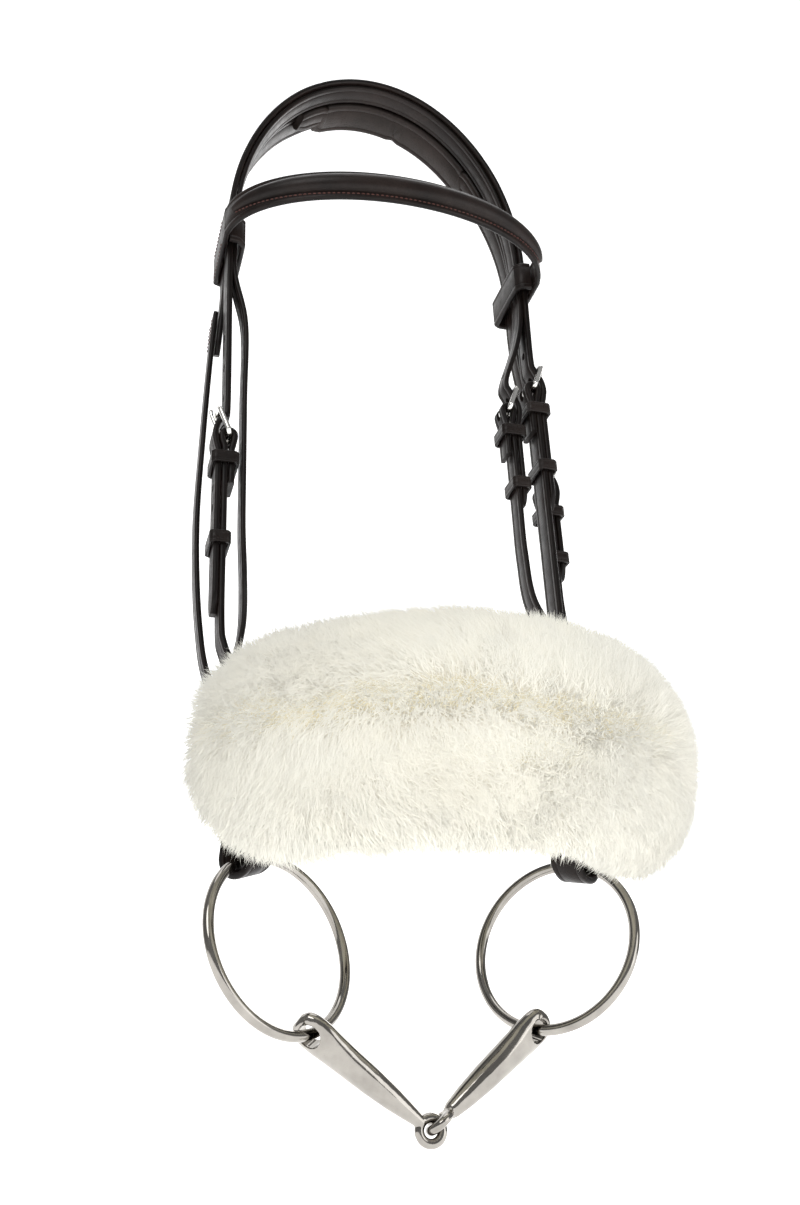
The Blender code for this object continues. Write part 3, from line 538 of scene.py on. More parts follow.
def buckle_set(prefix, place, width, runner_at):
    buckle(prefix + "_buckle", place, width)
    tongue(prefix + "_buckle_tongue", place)
    keeper(prefix + "_keeper", place, KEEPER_AT, width, -3.5, 6.85)
    keeper(prefix + "_runner", place, runner_at, width, 0.15, 6.85)


def cheek_place(side):
    return Place((side * CHEEK_X, CHEEK_Y, CHEEK_BUCKLE_Z[side]), UP, (side, 0, 0))


THROAT = Place((104.0, 14.0, -273.0), UP, (1, 0, 0))
SLIP = Place((73.8, -10.0, -236.0), UP, (1, 0, 0))
CHIN = Place((30.0, 11.0, -453.0), (-1, 0, 0), (0, 1, 0))


# ---- headpiece ----------------------------------------------------------------------------
def arch_point(degrees, offset, y=0.0):
    angle = math.radians(degrees)
    normal = Vector((math.sin(angle) / ARCH_HALF, 0, math.cos(angle) / ARCH_RISE)).normalized()
    base = Vector((ARCH_HALF * math.sin(angle), y,
                   ARCH_RISE * (math.cos(angle) - 1) + SEAT_LIFT))
    return base + offset * normal


def crown_share(degrees):
    return max(0.0, min(1.0, (75.0 - abs(degrees - SHIFT_DEG)) / 30.0))


def slit_half(degrees):
    """Half the slit's width: nothing over the poll, opening below its start."""
    beyond = abs(degrees - SHIFT_DEG) - SLIT_START_DEG
    return SLIT_HALF * math.sqrt(max(0.0, min(1.0, beyond / 1.5)))


def arch_rows(front, offset=HEAD_OFFSET, step=1.0):
    """One half of the headpiece over the arch, from its right side round to its left."""
    rows = []
    for degrees in np.arange(-90, 90.01, step):
        share = crown_share(degrees)
        inner = slit_half(degrees)
        if front:
            edge = LEGS_FRONT + (-CROWN_HALF - LEGS_FRONT) * share
            y, width = (edge - inner) / 2, -inner - edge
        else:
            edge = LEGS_REAR + (CROWN_HALF - LEGS_REAR) * share
            y, width = (edge + inner) / 2, edge - inner
        rows.append((*arch_point(degrees, offset, y), width))
    return rows


def headpiece():
    """Two long straps side by side: they touch over the poll and part at the slits."""
    x = ARCH_HALF + HEAD_OFFSET
    ends = {}
    for side in (-1, 1):
        top = [(side * x, CHEEK_Y, z, CHEEK_WIDTH) for z in (-138.0, -152.0)]
        tail = [(*p, CHEEK_WIDTH - 0.1) for p in tail_points(cheek_place(side),
                                                              CHEEK_TAIL[side])]
        ends[side] = smooth_path([*top, *tail])
    front = np.vstack([ends[-1][::-1], arch_rows(True), ends[1]])
    piece = strap("headpiece_front", front, tuple(BACK), HEAD_THICK)
    point_ends(piece, front)
    holes = []
    for side in (-1, 1):
        place = cheek_place(side)
        holes.append((place.at(6.4, 5.0), place.n, 2.1, 3.6, UP))
        for step in (28.0, 48.0, 68.0, -30.0, -42.0):
            if side > 0 and step > 50:
                continue
            holes.append((place.at(step, 3.0), place.n, 1.9, 0.5, UP))
    carve(piece, holes)
    place_piece(piece, "headpiece", ["headpiece"])

    lead = [(x, THROAT_Y, -138), (x, THROAT_Y, -152), (x, THROAT_Y, -164),
            (x + 2.2, THROAT_Y + 2.0, -188), (x + 9.6, THROAT.origin.y - 0.5, -228)]
    right = smooth_path(widths_of([*lead, *tail_points(THROAT, 58.0)], THROAT_WIDTH - 0.1))
    left = smooth_path(widths_of([(-x, THROAT_Y, -138), (-x, THROAT_Y, -152),
                                  (-x, THROAT_Y, -162), (-x - 0.9, THROAT_Y + 1.6, -179),
                                  (-x - 2.6, THROAT_Y + 4.5, -205)], THROAT_WIDTH - 0.1))
    rear = np.vstack([left[::-1], arch_rows(False), right])
    piece = strap("headpiece_rear", rear, tuple(BACK), HEAD_THICK)
    point_ends(piece, rear)
    carve(piece, [(THROAT.at(6.4, 5.0), THROAT.n, 2.1, 3.6, UP),
                  (THROAT.at(30.0, 3.0), THROAT.n, 1.8, 0.4, UP),
                  (THROAT.at(-30.0, 3.0), THROAT.n, 1.8, 0.4, UP)])
    place_piece(piece, "headpiece")


def point_ends(obj, rows, tip=11.0):
    """Round both ends of a strap to a point, by narrowing each row of its mesh."""
    points = rows[:, :3]
    reach = np.concatenate([[0], np.cumsum(np.linalg.norm(np.diff(points, axis=0), axis=1))])
    left = np.minimum(reach, reach[-1] - reach)
    share = np.clip((left + 0.5) / tip, 0, 1)
    narrow = np.sqrt(1 - (1 - share) ** 2)
    size = len(obj.data.vertices) // len(points)
    for i in np.nonzero(narrow < 1)[0]:
        for vert in obj.data.vertices[i * size:(i + 1) * size]:
            vert.co.y = points[i, 1] * MM + (vert.co.y - points[i, 1] * MM) * narrow[i]


def poll_pad():
    """The padding under the rear of the headpiece, cut back for the ears, with a notch."""
    rows = []
    for local in np.arange(-PAD_END_DEG, PAD_END_DEG + 0.01, 0.4):
        step = max(0.0, min(1.0, (PAD_STEP_DEG + 1.6 - abs(local)) / 1.6))
        end = max(0.0, (abs(local) - PAD_END_DEG + 6) / 6)
        rear = PAD_STEP_Y + (PAD_REAR_Y - PAD_STEP_Y) * (3 * step ** 2 - 2 * step ** 3)
        rear -= 4.0 * end ** 3
        aside = math.radians(local) * (ARCH_HALF + PAD_OFFSET) * 1.02
        rear -= math.sqrt(max(0.0, NOTCH_RADIUS ** 2 - aside ** 2)) * 1.15
        point = arch_point(SHIFT_DEG + local, PAD_OFFSET)
        rows.append((point.x, (rear + PAD_FRONT_Y) / 2, point.z, rear - PAD_FRONT_Y))
    rows = np.array(rows)
    obj = strap("poll_pad_lining", rows, tuple(BACK), PAD_THICK, LINING, edge=2.0, crease=0.35)
    place_piece(obj, "poll_pad", ["poll_pad"])


# ---- browband -----------------------------------------------------------------------------
def brow_curve(degrees, out=0.0):
    angle = math.radians(degrees)
    flat = Vector((BROW_HALF * math.sin(angle), -BROW_DEPTH * math.cos(angle), 0))
    normal = Vector((math.sin(angle) / BROW_HALF, -math.cos(angle) / BROW_DEPTH, 0)).normalized()
    return Vector((0, BROW_BACK_Y, BROW_Z)) + flat + out * normal, normal


def browband():
    corner = 3.0
    end = []
    for cx, start in ((BROW_HALF - corner, 0), (LOOP_INNER_X + corner, 90)):
        for step in (0, 30, 60, 90):
            angle = math.radians(start + step)
            end.append((cx + corner * math.cos(angle),
                        LOOP_REAR_Y - corner + corner * math.sin(angle)))
    end += [(LOOP_INNER_X, -17.0), (LOOP_INNER_X + 0.9, -20.6), (LOOP_INNER_X + 3.4, -23.0),
            (BROW_HALF - 2.4, -23.6)]
    right = [Vector((x, y, BROW_Z)) for x, y in end]
    front = [brow_curve(a)[0] for a in range(-90, 91, 6)]
    points = [*[mirrored(p, -1) for p in right[::-1]], *front, *right]
    rows = smooth_path(widths_of(points, BROW_HEIGHT), 1.2)
    obj = strap("browband_strap", rows, tuple(UP), BROW_THICK, edge=1.2, crease=0.2)
    place_piece(obj, "browband", ["browband"])
    for side in (-1, 1):
        for z in (-8.2, 8.2):
            line = [(side * (BROW_HALF + BROW_THICK / 2), y, BROW_Z + z)
                    for y in np.arange(-20, 13.1, 1.5)]
            stitches(f"browband_loop_stitches_{side_name(side)}_{'low' if z < 0 else 'high'}",
                     line, [(side, 0, 0)] * len(line), "browband")


def browband_padding():
    """The raised roll along the browband's front, between two rows of stitches."""
    rings, halves = [], []
    angles = np.linspace(-ROLL_END_DEG, ROLL_END_DEG, 181)
    for degrees in angles:
        share = abs(degrees) / ROLL_END_DEG
        fade = math.sqrt(max(0.0, 1 - share ** 2.5 * 0.9))
        half = ROLL_HEIGHT / 2 * fade
        base, normal = brow_curve(degrees, BROW_THICK / 2)
        ring = [base + UP * -half, base + UP * half]
        for a in range(8, 173, 12):
            reach = math.radians(a)
            bulge = (GAP + 0.4 + ROLL_BULGE * fade) * math.sin(reach) ** 0.8
            ring.append(base + UP * half * math.cos(reach) + normal * bulge)
        rings.append(ring)
        halves.append(half)
    size = len(rings[0])
    verts = [p for ring in rings for p in ring]
    faces = wall_faces(len(rings), size)
    faces += [tuple(range(size))[::-1], tuple(range(len(verts) - size, len(verts)))]
    obj = mesh_object("browband_roll", verts, faces, LEATHER, 50.0)
    place_piece(obj, "browband_padding", ["browband_padding"])
    for sign, name in ((-1, "low"), (1, "high")):
        line, outward = [], []
        for degrees, half in zip(angles, halves):
            point, normal = brow_curve(degrees, BROW_THICK / 2)
            line.append(point + UP * sign * (half + 1.1))
            outward.append(normal)
        stitches(f"browband_stitches_{name}", line, outward, "browband_padding",
                 length=2.0, pitch=2.7, radius=0.38)


# ---- cheekpieces --------------------------------------------------------------------------
def ring_axes(side):
    """A ring's chord from its leather loop to the mouthpiece, its normal and wire direction."""
    lean = math.radians(RING_LEAN_DEG)
    chord = Vector((-math.sin(lean), 0, -math.cos(lean)))
    sideways = Vector((-math.cos(lean), 0, math.sin(lean)))
    turn = RING_TURN[side]
    normal = (turn[0] * sideways - turn[1] * BACK).normalized()
    wire = normal.cross(chord)
    if wire.y < 0:
        wire = -wire
    return mirrored(chord, side), mirrored(normal, side), mirrored(wire, side)


def cheekpiece(side):
    place = cheek_place(side)
    wire = ring_axes(side)[2]
    axis = Vector((wire.x, wire.y, 0)).normalized()
    out = Vector((axis.y * side, -axis.x * side, 0))
    base = mirrored(LOOP_TOP, side) + Vector((0, 0, LOOP_LIFT))
    x, top = CHEEK_X + LAYER, base.z + 26
    start = place.origin.z - 25
    middle = [(x, CHEEK_Y, start), (x, CHEEK_Y, (start - 330) / 2), (x, CHEEK_Y, -330),
              (x, CHEEK_Y, -384), (90.5, -11.5, -401), (83.8, -14.5, -418), (80.2, -17, -433),
              (80, -19, -445), (80, -23, -460)]
    radius = LEATHER_LOOP + CHEEK_THICK / 2
    loop = [(LAYER, 26), (LAYER, 18.5), (4.6, 13), (7.9, 6.5)]
    loop += [(radius * math.cos(a), radius * math.sin(a))
             for a in (math.radians(-d) for d in range(0, 181, 22))]
    loop += [(-7.9, 6.5), (-4.6, 13), (-LAYER, 18.5), (-LAYER, 25)]

    def across(point):
        share = max(0.0, min(1.0, (-460 - point[2]) / (-460 - top)))
        low = max(0.0, min(1.0, (base.z + 12 - point[2]) / 10))
        return tuple(BACK.lerp(axis, share).lerp(wire, low).normalized())

    points = [*fold_points(place, FOLD_END), *[mirrored(p, side) for p in middle],
              *[base + e * out + h * UP for e, h in loop]]
    node = f"cheekpiece_{side_name(side)}"
    piece = strap(node + "_strap", smooth_path(widths_of(points, CHEEK_WIDTH)), across,
                  CHEEK_THICK)
    carve(piece, [(place.at(0.5, 0), place.n, 2.3, 3.5, UP)])
    place_piece(piece, node, [node])
    stack = Place(base, UP, out)
    keeper(f"billet_keeper_{side_name(side)}", stack, 22.0, CHEEK_WIDTH, -3.5, 3.5, wide=6.0)
    for w in (-5.4, 5.4):
        line = [place.at(u, LAYER + CHEEK_THICK / 2, w) for u in np.arange(-20.5, -29.5, -1.0)]
        stitches(f"{node}_stitches_{'a' if w < 0 else 'b'}", line,
                 [tuple(place.n)] * len(line), node, length=1.9, pitch=2.6, radius=0.3)


# ---- noseband straps and throatlash -------------------------------------------------------
def headstrap_foot(side, x_inner):
    x_end = NOSE_RADIUS + NOSE_THICK / 2 + GAP + SLIP_THICK / 2
    path = [(x_inner, -10, -300), (x_inner, -10.5, -332), (x_inner, -17, -364), (84, -28.5, -394),
            (88.5, -35, -418), (x_end, -36.5, -440), (x_end, -36.5, -467)]
    return [mirrored(p, side) for p in path]


def headstrap():
    line = [arch_point(d, SLIP_OFFSET, -9.5 - crown_share(d)) for d in np.arange(-90, 90.1, 2.0)]
    x = ARCH_HALF + SLIP_OFFSET
    left = [*headstrap_foot(-1, 82.0)[::-1], (-82, -10, -250), (-82, -10, -200),
            (-x, -9.5, -164)]
    right = [(x, -9.5, -162), (x - 4.5, -9.8, -186), *tail_points(SLIP, 62.0)]
    path = smooth_path(widths_of([*left, *line, *right], SLIP_WIDTH))
    piece = strap("noseband_headstrap_strap", path, tuple(BACK), SLIP_THICK, tip=9.0)
    carve(piece, [(SLIP.at(6.4, 5.0), SLIP.n, 2.0, 3.4, UP),
                  (SLIP.at(28.0, 1.2), SLIP.n, 1.7, 0.4, UP),
                  (SLIP.at(-30.0, 5.3), SLIP.n, 1.7, 0.4, UP)])
    place_piece(piece, "noseband_headstrap", ["noseband_headstrap"])

    x = SLIP.origin.x + LAYER
    down = [(x, SLIP.origin.y, SLIP.origin.z - 25), *headstrap_foot(1, x)]
    points = [*fold_points(SLIP, FOLD_END), *down]
    piece = strap("noseband_cheek_strap_strap", smooth_path(widths_of(points, SLIP_WIDTH)),
                  tuple(BACK), SLIP_THICK)
    carve(piece, [(SLIP.at(0.5, 0), SLIP.n, 2.2, 3.5, UP)])
    place_piece(piece, "noseband_cheek_strap", ["noseband_cheek_strap"])


def throatlash():
    x = ARCH_HALF + HEAD_OFFSET + 3.6
    side = THROAT.origin.x + LAYER
    points = [(-x - 0.9, THROAT_Y + 1.9, -179), (-x - 2.6, THROAT_Y + 4.5, -205),
              (-101, 14, -262), (-103, 14, -322), (-100, 14, -378), (-93, 14, -410),
              (-74, 16, -425), (-40, 18, -431), (0, 18, -432), (40, 18, -431), (74, 16, -425),
              (94, 14, -410), (side, 14, -376), (side, 14, -344), (side, 14, -318),
              *fold_points(THROAT, FOLD_END)[::-1]]
    piece = strap("throatlash_strap", smooth_path(widths_of(points, THROAT_WIDTH)),
                  tuple(BACK), THROAT_THICK)
    carve(piece, [(THROAT.at(0.5, 0), THROAT.n, 2.2, 3.5, UP)])
    place_piece(piece, "throatlash", ["throatlash"])
    for w in (-4.2, 4.2):
        line = [(-x - 2.0, THROAT_Y + 3.5 + w, z) for z in np.arange(-202, -181, 1.0)]
        line = [(px - 2.4 + (z + 205) * 0.065, y, z) for px, y, z in line]
        stitches(f"throatlash_stitches_{'a' if w < 0 else 'b'}", line,
                 [(-1, 0, 0)] * len(line), "throatlash", length=1.9, pitch=2.6, radius=0.3)


# ---- noseband -----------------------------------------------------------------------------
def nose_point(degrees, out, up=0.0):
    angle = math.radians(degrees)
    reach = NOSE_RADIUS + out
    return Vector((reach * math.sin(angle), NOSE_CENTRE_Y - reach * math.cos(angle),
                   NOSE_Z + up))


def nosepiece():
    points = [(-NOSE_RADIUS, NOSE_BACK_Y, NOSE_Z, CHIN_WIDTH + 2)]
    points += [(*nose_point(a, 0.0), NOSE_WIDTH) for a in range(-86, 91, 8)]
    points += [(NOSE_RADIUS, NOSE_BACK_Y, NOSE_Z, 24.0), (86.5, -9, NOSE_Z + 1, 19.0),
               (78, 5, NOSE_Z + 2, 16.5), (64, 11.8, CHIN.origin.z, CHIN_WIDTH)]
    points += widths_of([(55, CHIN.origin.y + LAYER, CHIN.origin.z),
                         *fold_points(CHIN, -24.0)[::-1]], CHIN_WIDTH)
    piece = strap("nosepiece_strap", smooth_path(points), tuple(UP), CHEEK_THICK)
    carve(piece, [(CHIN.at(0.5, 0), CHIN.n, 2.3, 3.5, CHIN.u)])
    place_piece(piece, "nosepiece", ["nosepiece"])

    x = NOSE_RADIUS - (CHEEK_THICK / 2 + GAP + BILLET_THICK / 2)
    rear = CHIN.origin.y + 0.8
    points = [(-x, -50, NOSE_Z), (-x, -36, NOSE_Z), (-x, NOSE_BACK_Y, NOSE_Z), (-x, -8, NOSE_Z),
              (-76, 4, NOSE_Z + 1), (-60, 10.8, CHIN.origin.z), (-46, rear, CHIN.origin.z),
              (-20, rear, CHIN.origin.z), *tail_points(CHIN, 42.0)]
    piece = strap("chin_strap_strap", smooth_path(widths_of(points, CHIN_WIDTH)), tuple(UP),
                  BILLET_THICK, tip=9.0)
    carve(piece, [(CHIN.at(6.4, 5.0), CHIN.n, 2.1, 3.6, CHIN.u),
                  *[(CHIN.at(step, 1.0), CHIN.n, 1.8, 0.4, CHIN.u) for step in (30, 50, 70)],
                  (CHIN.at(-25.0, 5.3), CHIN.n, 1.8, 0.4, CHIN.u)])
    place_piece(piece, "chin_strap", ["chin_strap"])


def closure_strip():
    """The hook-and-loop strip on the cover's inner side, stitched along both edges."""
    out = -(COVER_DEPTH + GAP + 0.6)
    rise = COVER_Z - NOSE_Z
    points = [nose_point(a, out, rise) for a in range(-66, 67, 6)]
    obj = strap("closure_strip_band", smooth_path(widths_of(points, 20.0)), tuple(UP), 1.2,
                LINING, edge=0.5, crease=0.1)
    place_piece(obj, "closure_strip", ["closure_strip"])
    for z in (-8.4, 8.4):
        line = [nose_point(a, out - 0.6, rise + z) for a in np.arange(-64, 64.1, 1.0)]
        outward = [(nose_point(a, -1) - nose_point(a, 0)) for a in np.arange(-64, 64.1, 1.0)]
        stitches(f"closure_strip_stitches_{'low' if z < 0 else 'high'}", line, outward,
                 "closure_strip", radius=0.3)


# ---- bit ----------------------------------------------------------------------------------
def bit_points(side):
    hang = mirrored(LOOP_TOP, side)
    hole = hang + 2 * RING_RADIUS * ring_axes(side)[0]
    lean = math.radians(MOUTH_LEAN_DEG)
    length = abs(hole.x) / math.sin(lean)
    return hang, hole, hole + length * Vector((-side * math.sin(lean), 0, -math.cos(lean)))


def bit_ring(side):
    chord, normal, wire = ring_axes(side)
    middle = bit_points(side)[0] + RING_RADIUS * chord
    turns = np.linspace(0, 2 * math.pi, 160, endpoint=False)
    points = [middle + RING_RADIUS * (math.cos(a) * chord + math.sin(a) * wire) for a in turns]
    node = f"bit_ring_{side_name(side)}"
    obj = sweep(node + "_wire", points, [tuple(normal)] * len(points),
                [round_section(RING_WIRE, 24)] * len(points), STEEL, closed=True)
    place_piece(obj, node, [node])


def mouthpiece(side):
    """A cast half: hollow butt, curved tapered barrel and an eye, blended into one skin."""
    _, hole, centre = bit_points(side)
    along = (centre - hole).normalized()
    wire = ring_axes(side)[2]
    axis = (wire - 0.5 * wire.dot(along) * along).normalized()
    flat = (axis - axis.dot(along) * along).normalized()
    broad = along.cross(flat)
    length = (centre - hole).length
    shape = [(-8.8, 3.4, 2.2), (-8.0, 5.4, 3.2), (-6.4, 7.2, 4.0), (-3.5, 8.5, 4.6),
             (0.0, 8.9, 4.9), (5.0, 8.7, 5.1), (11.0, 7.8, 5.6), (20.0, 6.9, 5.9),
             (32.0, 6.2, 5.6), (44.0, 5.0, 4.8), (52.0, 3.8, 3.8),
             (length - EYE_SET[side] - 4.2, 2.4, 2.4)]
    rows = np.array(shape)
    marks = np.linspace(rows[0, 0], rows[-1, 0], 60)
    points = [hole + along * s for s in marks]
    sections = []
    for s in marks:
        a, b = (np.interp(s, rows[:, 0], rows[:, k]) for k in (1, 2))
        sections.append([(a * math.cos(t), b * math.sin(t))
                         for t in np.linspace(0, 2 * math.pi, 32, endpoint=False)])
    node = f"mouthpiece_{side_name(side)}"
    half = sweep(node + "_cast", points, [tuple(broad)] * len(points), sections, STEEL,
                 smooth_deg=70)
    carve(half, [(hole, axis, HOLE_RADIUS + 0.15, 0.0, along)])

    middle = centre - EYE_SET[side] * along
    aside = BACK if side > 0 else along.cross(BACK)
    turns = np.linspace(0, 2 * math.pi, 40, endpoint=False)
    ring = [middle + EYE_RADIUS * (math.cos(a) * along + math.sin(a) * aside) for a in turns]
    eye = sweep("eye_guide", ring, [tuple(along.cross(aside))] * len(ring),
                [round_section(EYE_WIRE, 16)] * len(ring), STEEL, closed=True)
    bm = bmesh.new()
    bm.from_mesh(half.data)
    bm.from_mesh(eye.data)
    bm.to_mesh(half.data)
    bm.free()
    bpy.data.objects.remove(eye)
    remesh = half.modifiers.new("skin", "REMESH")
    remesh.mode, remesh.voxel_size, remesh.use_smooth_shade = "VOXEL", 0.38 * MM, True
    soften = half.modifiers.new("soften", "SMOOTH")
    soften.factor, soften.iterations = 0.5, 6
    apply_modifiers(half)
    place_piece(half, node, [node])


# ---- sheepskin ----------------------------------------------------------------------------
def creases(degrees, turn):
    """How deep the pile parts at a place: a long line along the front and a short one below."""
    turn = (turn + 180) % 360 - 180
    wander = 2.0 * np.sin(degrees / 9) + 1.2 * np.sin(degrees / 3.7)
    long_line = np.exp(-((turn - CREASE_TURN - CREASE_LEAN * degrees + wander) / 6.5) ** 2)
    long_line = long_line * np.clip((68 - abs(degrees + 14)) / 25, 0, 1)
    short_line = np.exp(-((turn + 31 - wander) / 5.5) ** 2 - ((degrees - 2) / 21) ** 2)
    return long_line + 0.7 * short_line


def cover_shape(degrees, turn, shrink):
    """A point of the cover: degrees round the nose, turn round its section, shrink inwards."""
    low, high = COVER_ENDS_DEG
    share = (2 * degrees - low - high) / (high - low)
    close = max(0.0, 1 - abs(share) ** 12) ** (1 / 3.6)
    depth, height = (COVER_DEPTH - shrink) * close, (COVER_HEIGHT - shrink) * close
    out, up = math.cos(turn), math.sin(turn)
    inside = max(0.0, -out) ** 2
    depth += inside * (shrink - 2.5) * close
    height += END_LIFT * share ** 4 * max(0.0, up) * close
    height += (BELLY + SAG * (1 - share ** 2)) * max(0.0, -up) * close
    puff = 1 - CREASE_DEPTH * creases(degrees, math.degrees(turn))
    spot = nose_point(degrees, 0) * 0.02
    lump = noise.noise(Vector((spot.x * 1.7, spot.y * 1.7, 2.2 * up + spot.z)))
    lump += 0.5 * noise.noise(Vector((spot.x * 4, out * 2.5, up * 2.5)))
    puff += 0.03 * lump * close
    return nose_point(degrees, depth * out * puff, COVER_Z - NOSE_Z + height * up * puff)


def cover_skin():
    """The slightly lumpy skin under the pile, with the dips where the pile parts."""
    low, high = COVER_ENDS_DEG
    along, round_ = 150, 96
    degrees = [low + (high - low) * (1 - math.cos(math.pi * i / along)) / 2
               for i in range(1, along)]
    degrees = [0.5 * d + 0.5 * (low + (high - low) * i / along)
               for i, d in enumerate(degrees, 1)]
    verts = [cover_shape(d, 2 * math.pi * k / round_, PILE) for d in degrees
             for k in range(round_)]
    faces = wall_faces(len(degrees), round_)
    for start, order in ((0, -1), (len(verts) - round_, 1)):
        loop = list(range(start, start + round_))[::order]
        centre = sum((verts[k] for k in loop), Vector()) / round_
        verts.append(centre)
        faces += [(loop[k], loop[(k + 1) % round_], len(verts) - 1) for k in range(round_)]
    obj = mesh_object("sheepskin_cover_skin", verts, faces, SKIN, 180.0)
    turn_faces_out(obj)
    return obj


def sample_skin(obj, count, rng):
    """Points and normals spread evenly over a mesh, in millimetres."""
    mesh = obj.data
    mesh.calc_loop_triangles()
    corners = np.array([t.vertices for t in mesh.loop_triangles])
    co = np.array([v.co for v in mesh.vertices]) / MM
    up = np.array([v.normal for v in mesh.vertices])
    a, b, c = (co[corners[:, k]] for k in range(3))
    area = np.linalg.norm(np.cross(b - a, c - a), axis=1)
    picked = rng.choice(len(area), count, p=area / area.sum())
    u, v = rng.random(count), rng.random(count)
    swap = u + v > 1
    u[swap], v[swap] = 1 - u[swap], 1 - v[swap]
    weights = np.stack([1 - u - v, u, v], axis=1)
    spots = sum(weights[:, k:k + 1] * co[corners[picked, k]] for k in range(3))
    normals = sum(weights[:, k:k + 1] * up[corners[picked, k]] for k in range(3))
    return spots, normals / np.linalg.norm(normals, axis=1, keepdims=True)


def pile_height(spots):
    """How long the wool is: full on the outside, clipped short towards the horse."""
    x, y = spots[:, 0], spots[:, 1] - NOSE_CENTRE_Y
    inner = NOSE_RADIUS - np.hypot(x, y)
    clipped = np.clip((inner - 12) / 12, 0, 1)
    return (WOOL_STRETCH + END_STRETCH * (x / 115) ** 4) * (1 - CLIPPED * clipped)


def section_of(spots):
    """Degrees round the nose, and the angle round the cover's section, of points on it."""
    x, y = spots[:, 0], spots[:, 1] - NOSE_CENTRE_Y
    out = (np.hypot(x, y) - NOSE_RADIUS) / (COVER_DEPTH - PILE)
    turn = np.degrees(np.arctan2((spots[:, 2] - COVER_Z) / (COVER_HEIGHT - PILE), out))
    return np.degrees(np.arctan2(x, -y)), turn


def flow_at(spots, normals):
    """The lie of the wool: slow waves with a slight fall, brushed apart along the crease."""
    x, y, z = spots.T
    degrees, turn = section_of(spots)
    above = (turn - CREASE_TURN - CREASE_LEAN * degrees) / 22
    parting = above * np.exp(-above ** 2)
    drift = np.stack([0.5 * np.sin(x / 42 + z / 30 + 1) + 0.25 * np.sin(x / 15 - z / 12),
                      0.4 * np.sin(y / 25 + z / 40),
                      0.3 * np.sin(x / 32 + 0.9) + 0.25 * np.sin(z / 14 + x / 40 + 2)
                      + 0.15 * np.sin(x / 8 + y / 11) + 0.9 * parting - 0.2], axis=1)
    return drift - np.sum(drift * normals, axis=1, keepdims=True) * normals


def fur(skin):
    rng = np.random.default_rng(7)
    roots, up = sample_skin(skin, TUFTS, rng)
    length = pile_height(roots)[:, None] * PILE * rng.uniform(0.95, 1.3, (TUFTS, 1))
    tips = roots + length * (0.7 * up + 0.6 * flow_at(roots, up))
    tree = kdtree.KDTree(TUFTS)
    for i, p in enumerate(roots):
        tree.insert(p, i)
    tree.balance()
    for piece in range(FUR_PIECES):
        spots, normals = sample_skin(skin, LOCKS_PER_PIECE, rng)
        tuft = np.array([tree.find(p)[1] for p in spots])
        locks(skin, piece, spots, normals, tips[tuft], roots[tuft], up[tuft], rng)


def locks(skin, piece, spots, normals, tuft_tips, tuft_roots, tuft_up, rng):
    """Thin tapered locks that start on the skin and lean together at each tuft's tip."""
    count = len(spots)
    height = pile_height(spots)[:, None] * PILE
    stray = rng.normal(0, 1, (count, 3))
    stray -= np.sum(stray * normals, axis=1, keepdims=True) * normals
    flow = flow_at(spots, normals)
    own = spots + height * (rng.uniform(0.7, 1.15, (count, 1)) * normals + 0.7 * flow
                            + 0.22 * stray)
    gather = rng.uniform(0.1, 0.5, (count, 1))
    tips = own * (1 - gather) + (tuft_tips + height * 0.15 * stray) * gather
    mid = (spots + tips) / 2 + height * (0.2 * normals + 0.06 * rng.normal(0, 1, (count, 3)))
    side = np.cross(tips - spots, rng.normal(0, 1, (count, 3)))
    side /= np.linalg.norm(side, axis=1, keepdims=True)
    along = tips - spots
    along /= np.linalg.norm(along, axis=1, keepdims=True)
    third = np.cross(along, side)
    thick = rng.uniform(0.11, 0.25, (count, 1)) * (0.5 + 0.4 * pile_height(spots)[:, None])
    points = [place + thick * fat * (side * math.cos(turn) + third * math.sin(turn))
              for place, fat in ((spots - 0.8 * normals, 0.9), (mid, 1.0))
              for turn in (0, 2 * math.pi / 3, 4 * math.pi / 3)]
    points.append(tips)
    aside = spots + 0.5 * height * normals - tuft_roots
    aside -= np.sum(aside * tuft_up, axis=1, keepdims=True) * tuft_up
    soft = normals + 0.012 * aside + 0.05 * stray
    soft /= np.linalg.norm(soft, axis=1, keepdims=True)
    obj = bpy.data.objects.new(f"sheepskin_wool_{piece + 1}",
                               lock_mesh(points, creases(*section_of(spots)), soft))
    bpy.context.scene.collection.objects.link(obj)
    obj.visible_shadow = False
    obj.parent = skin


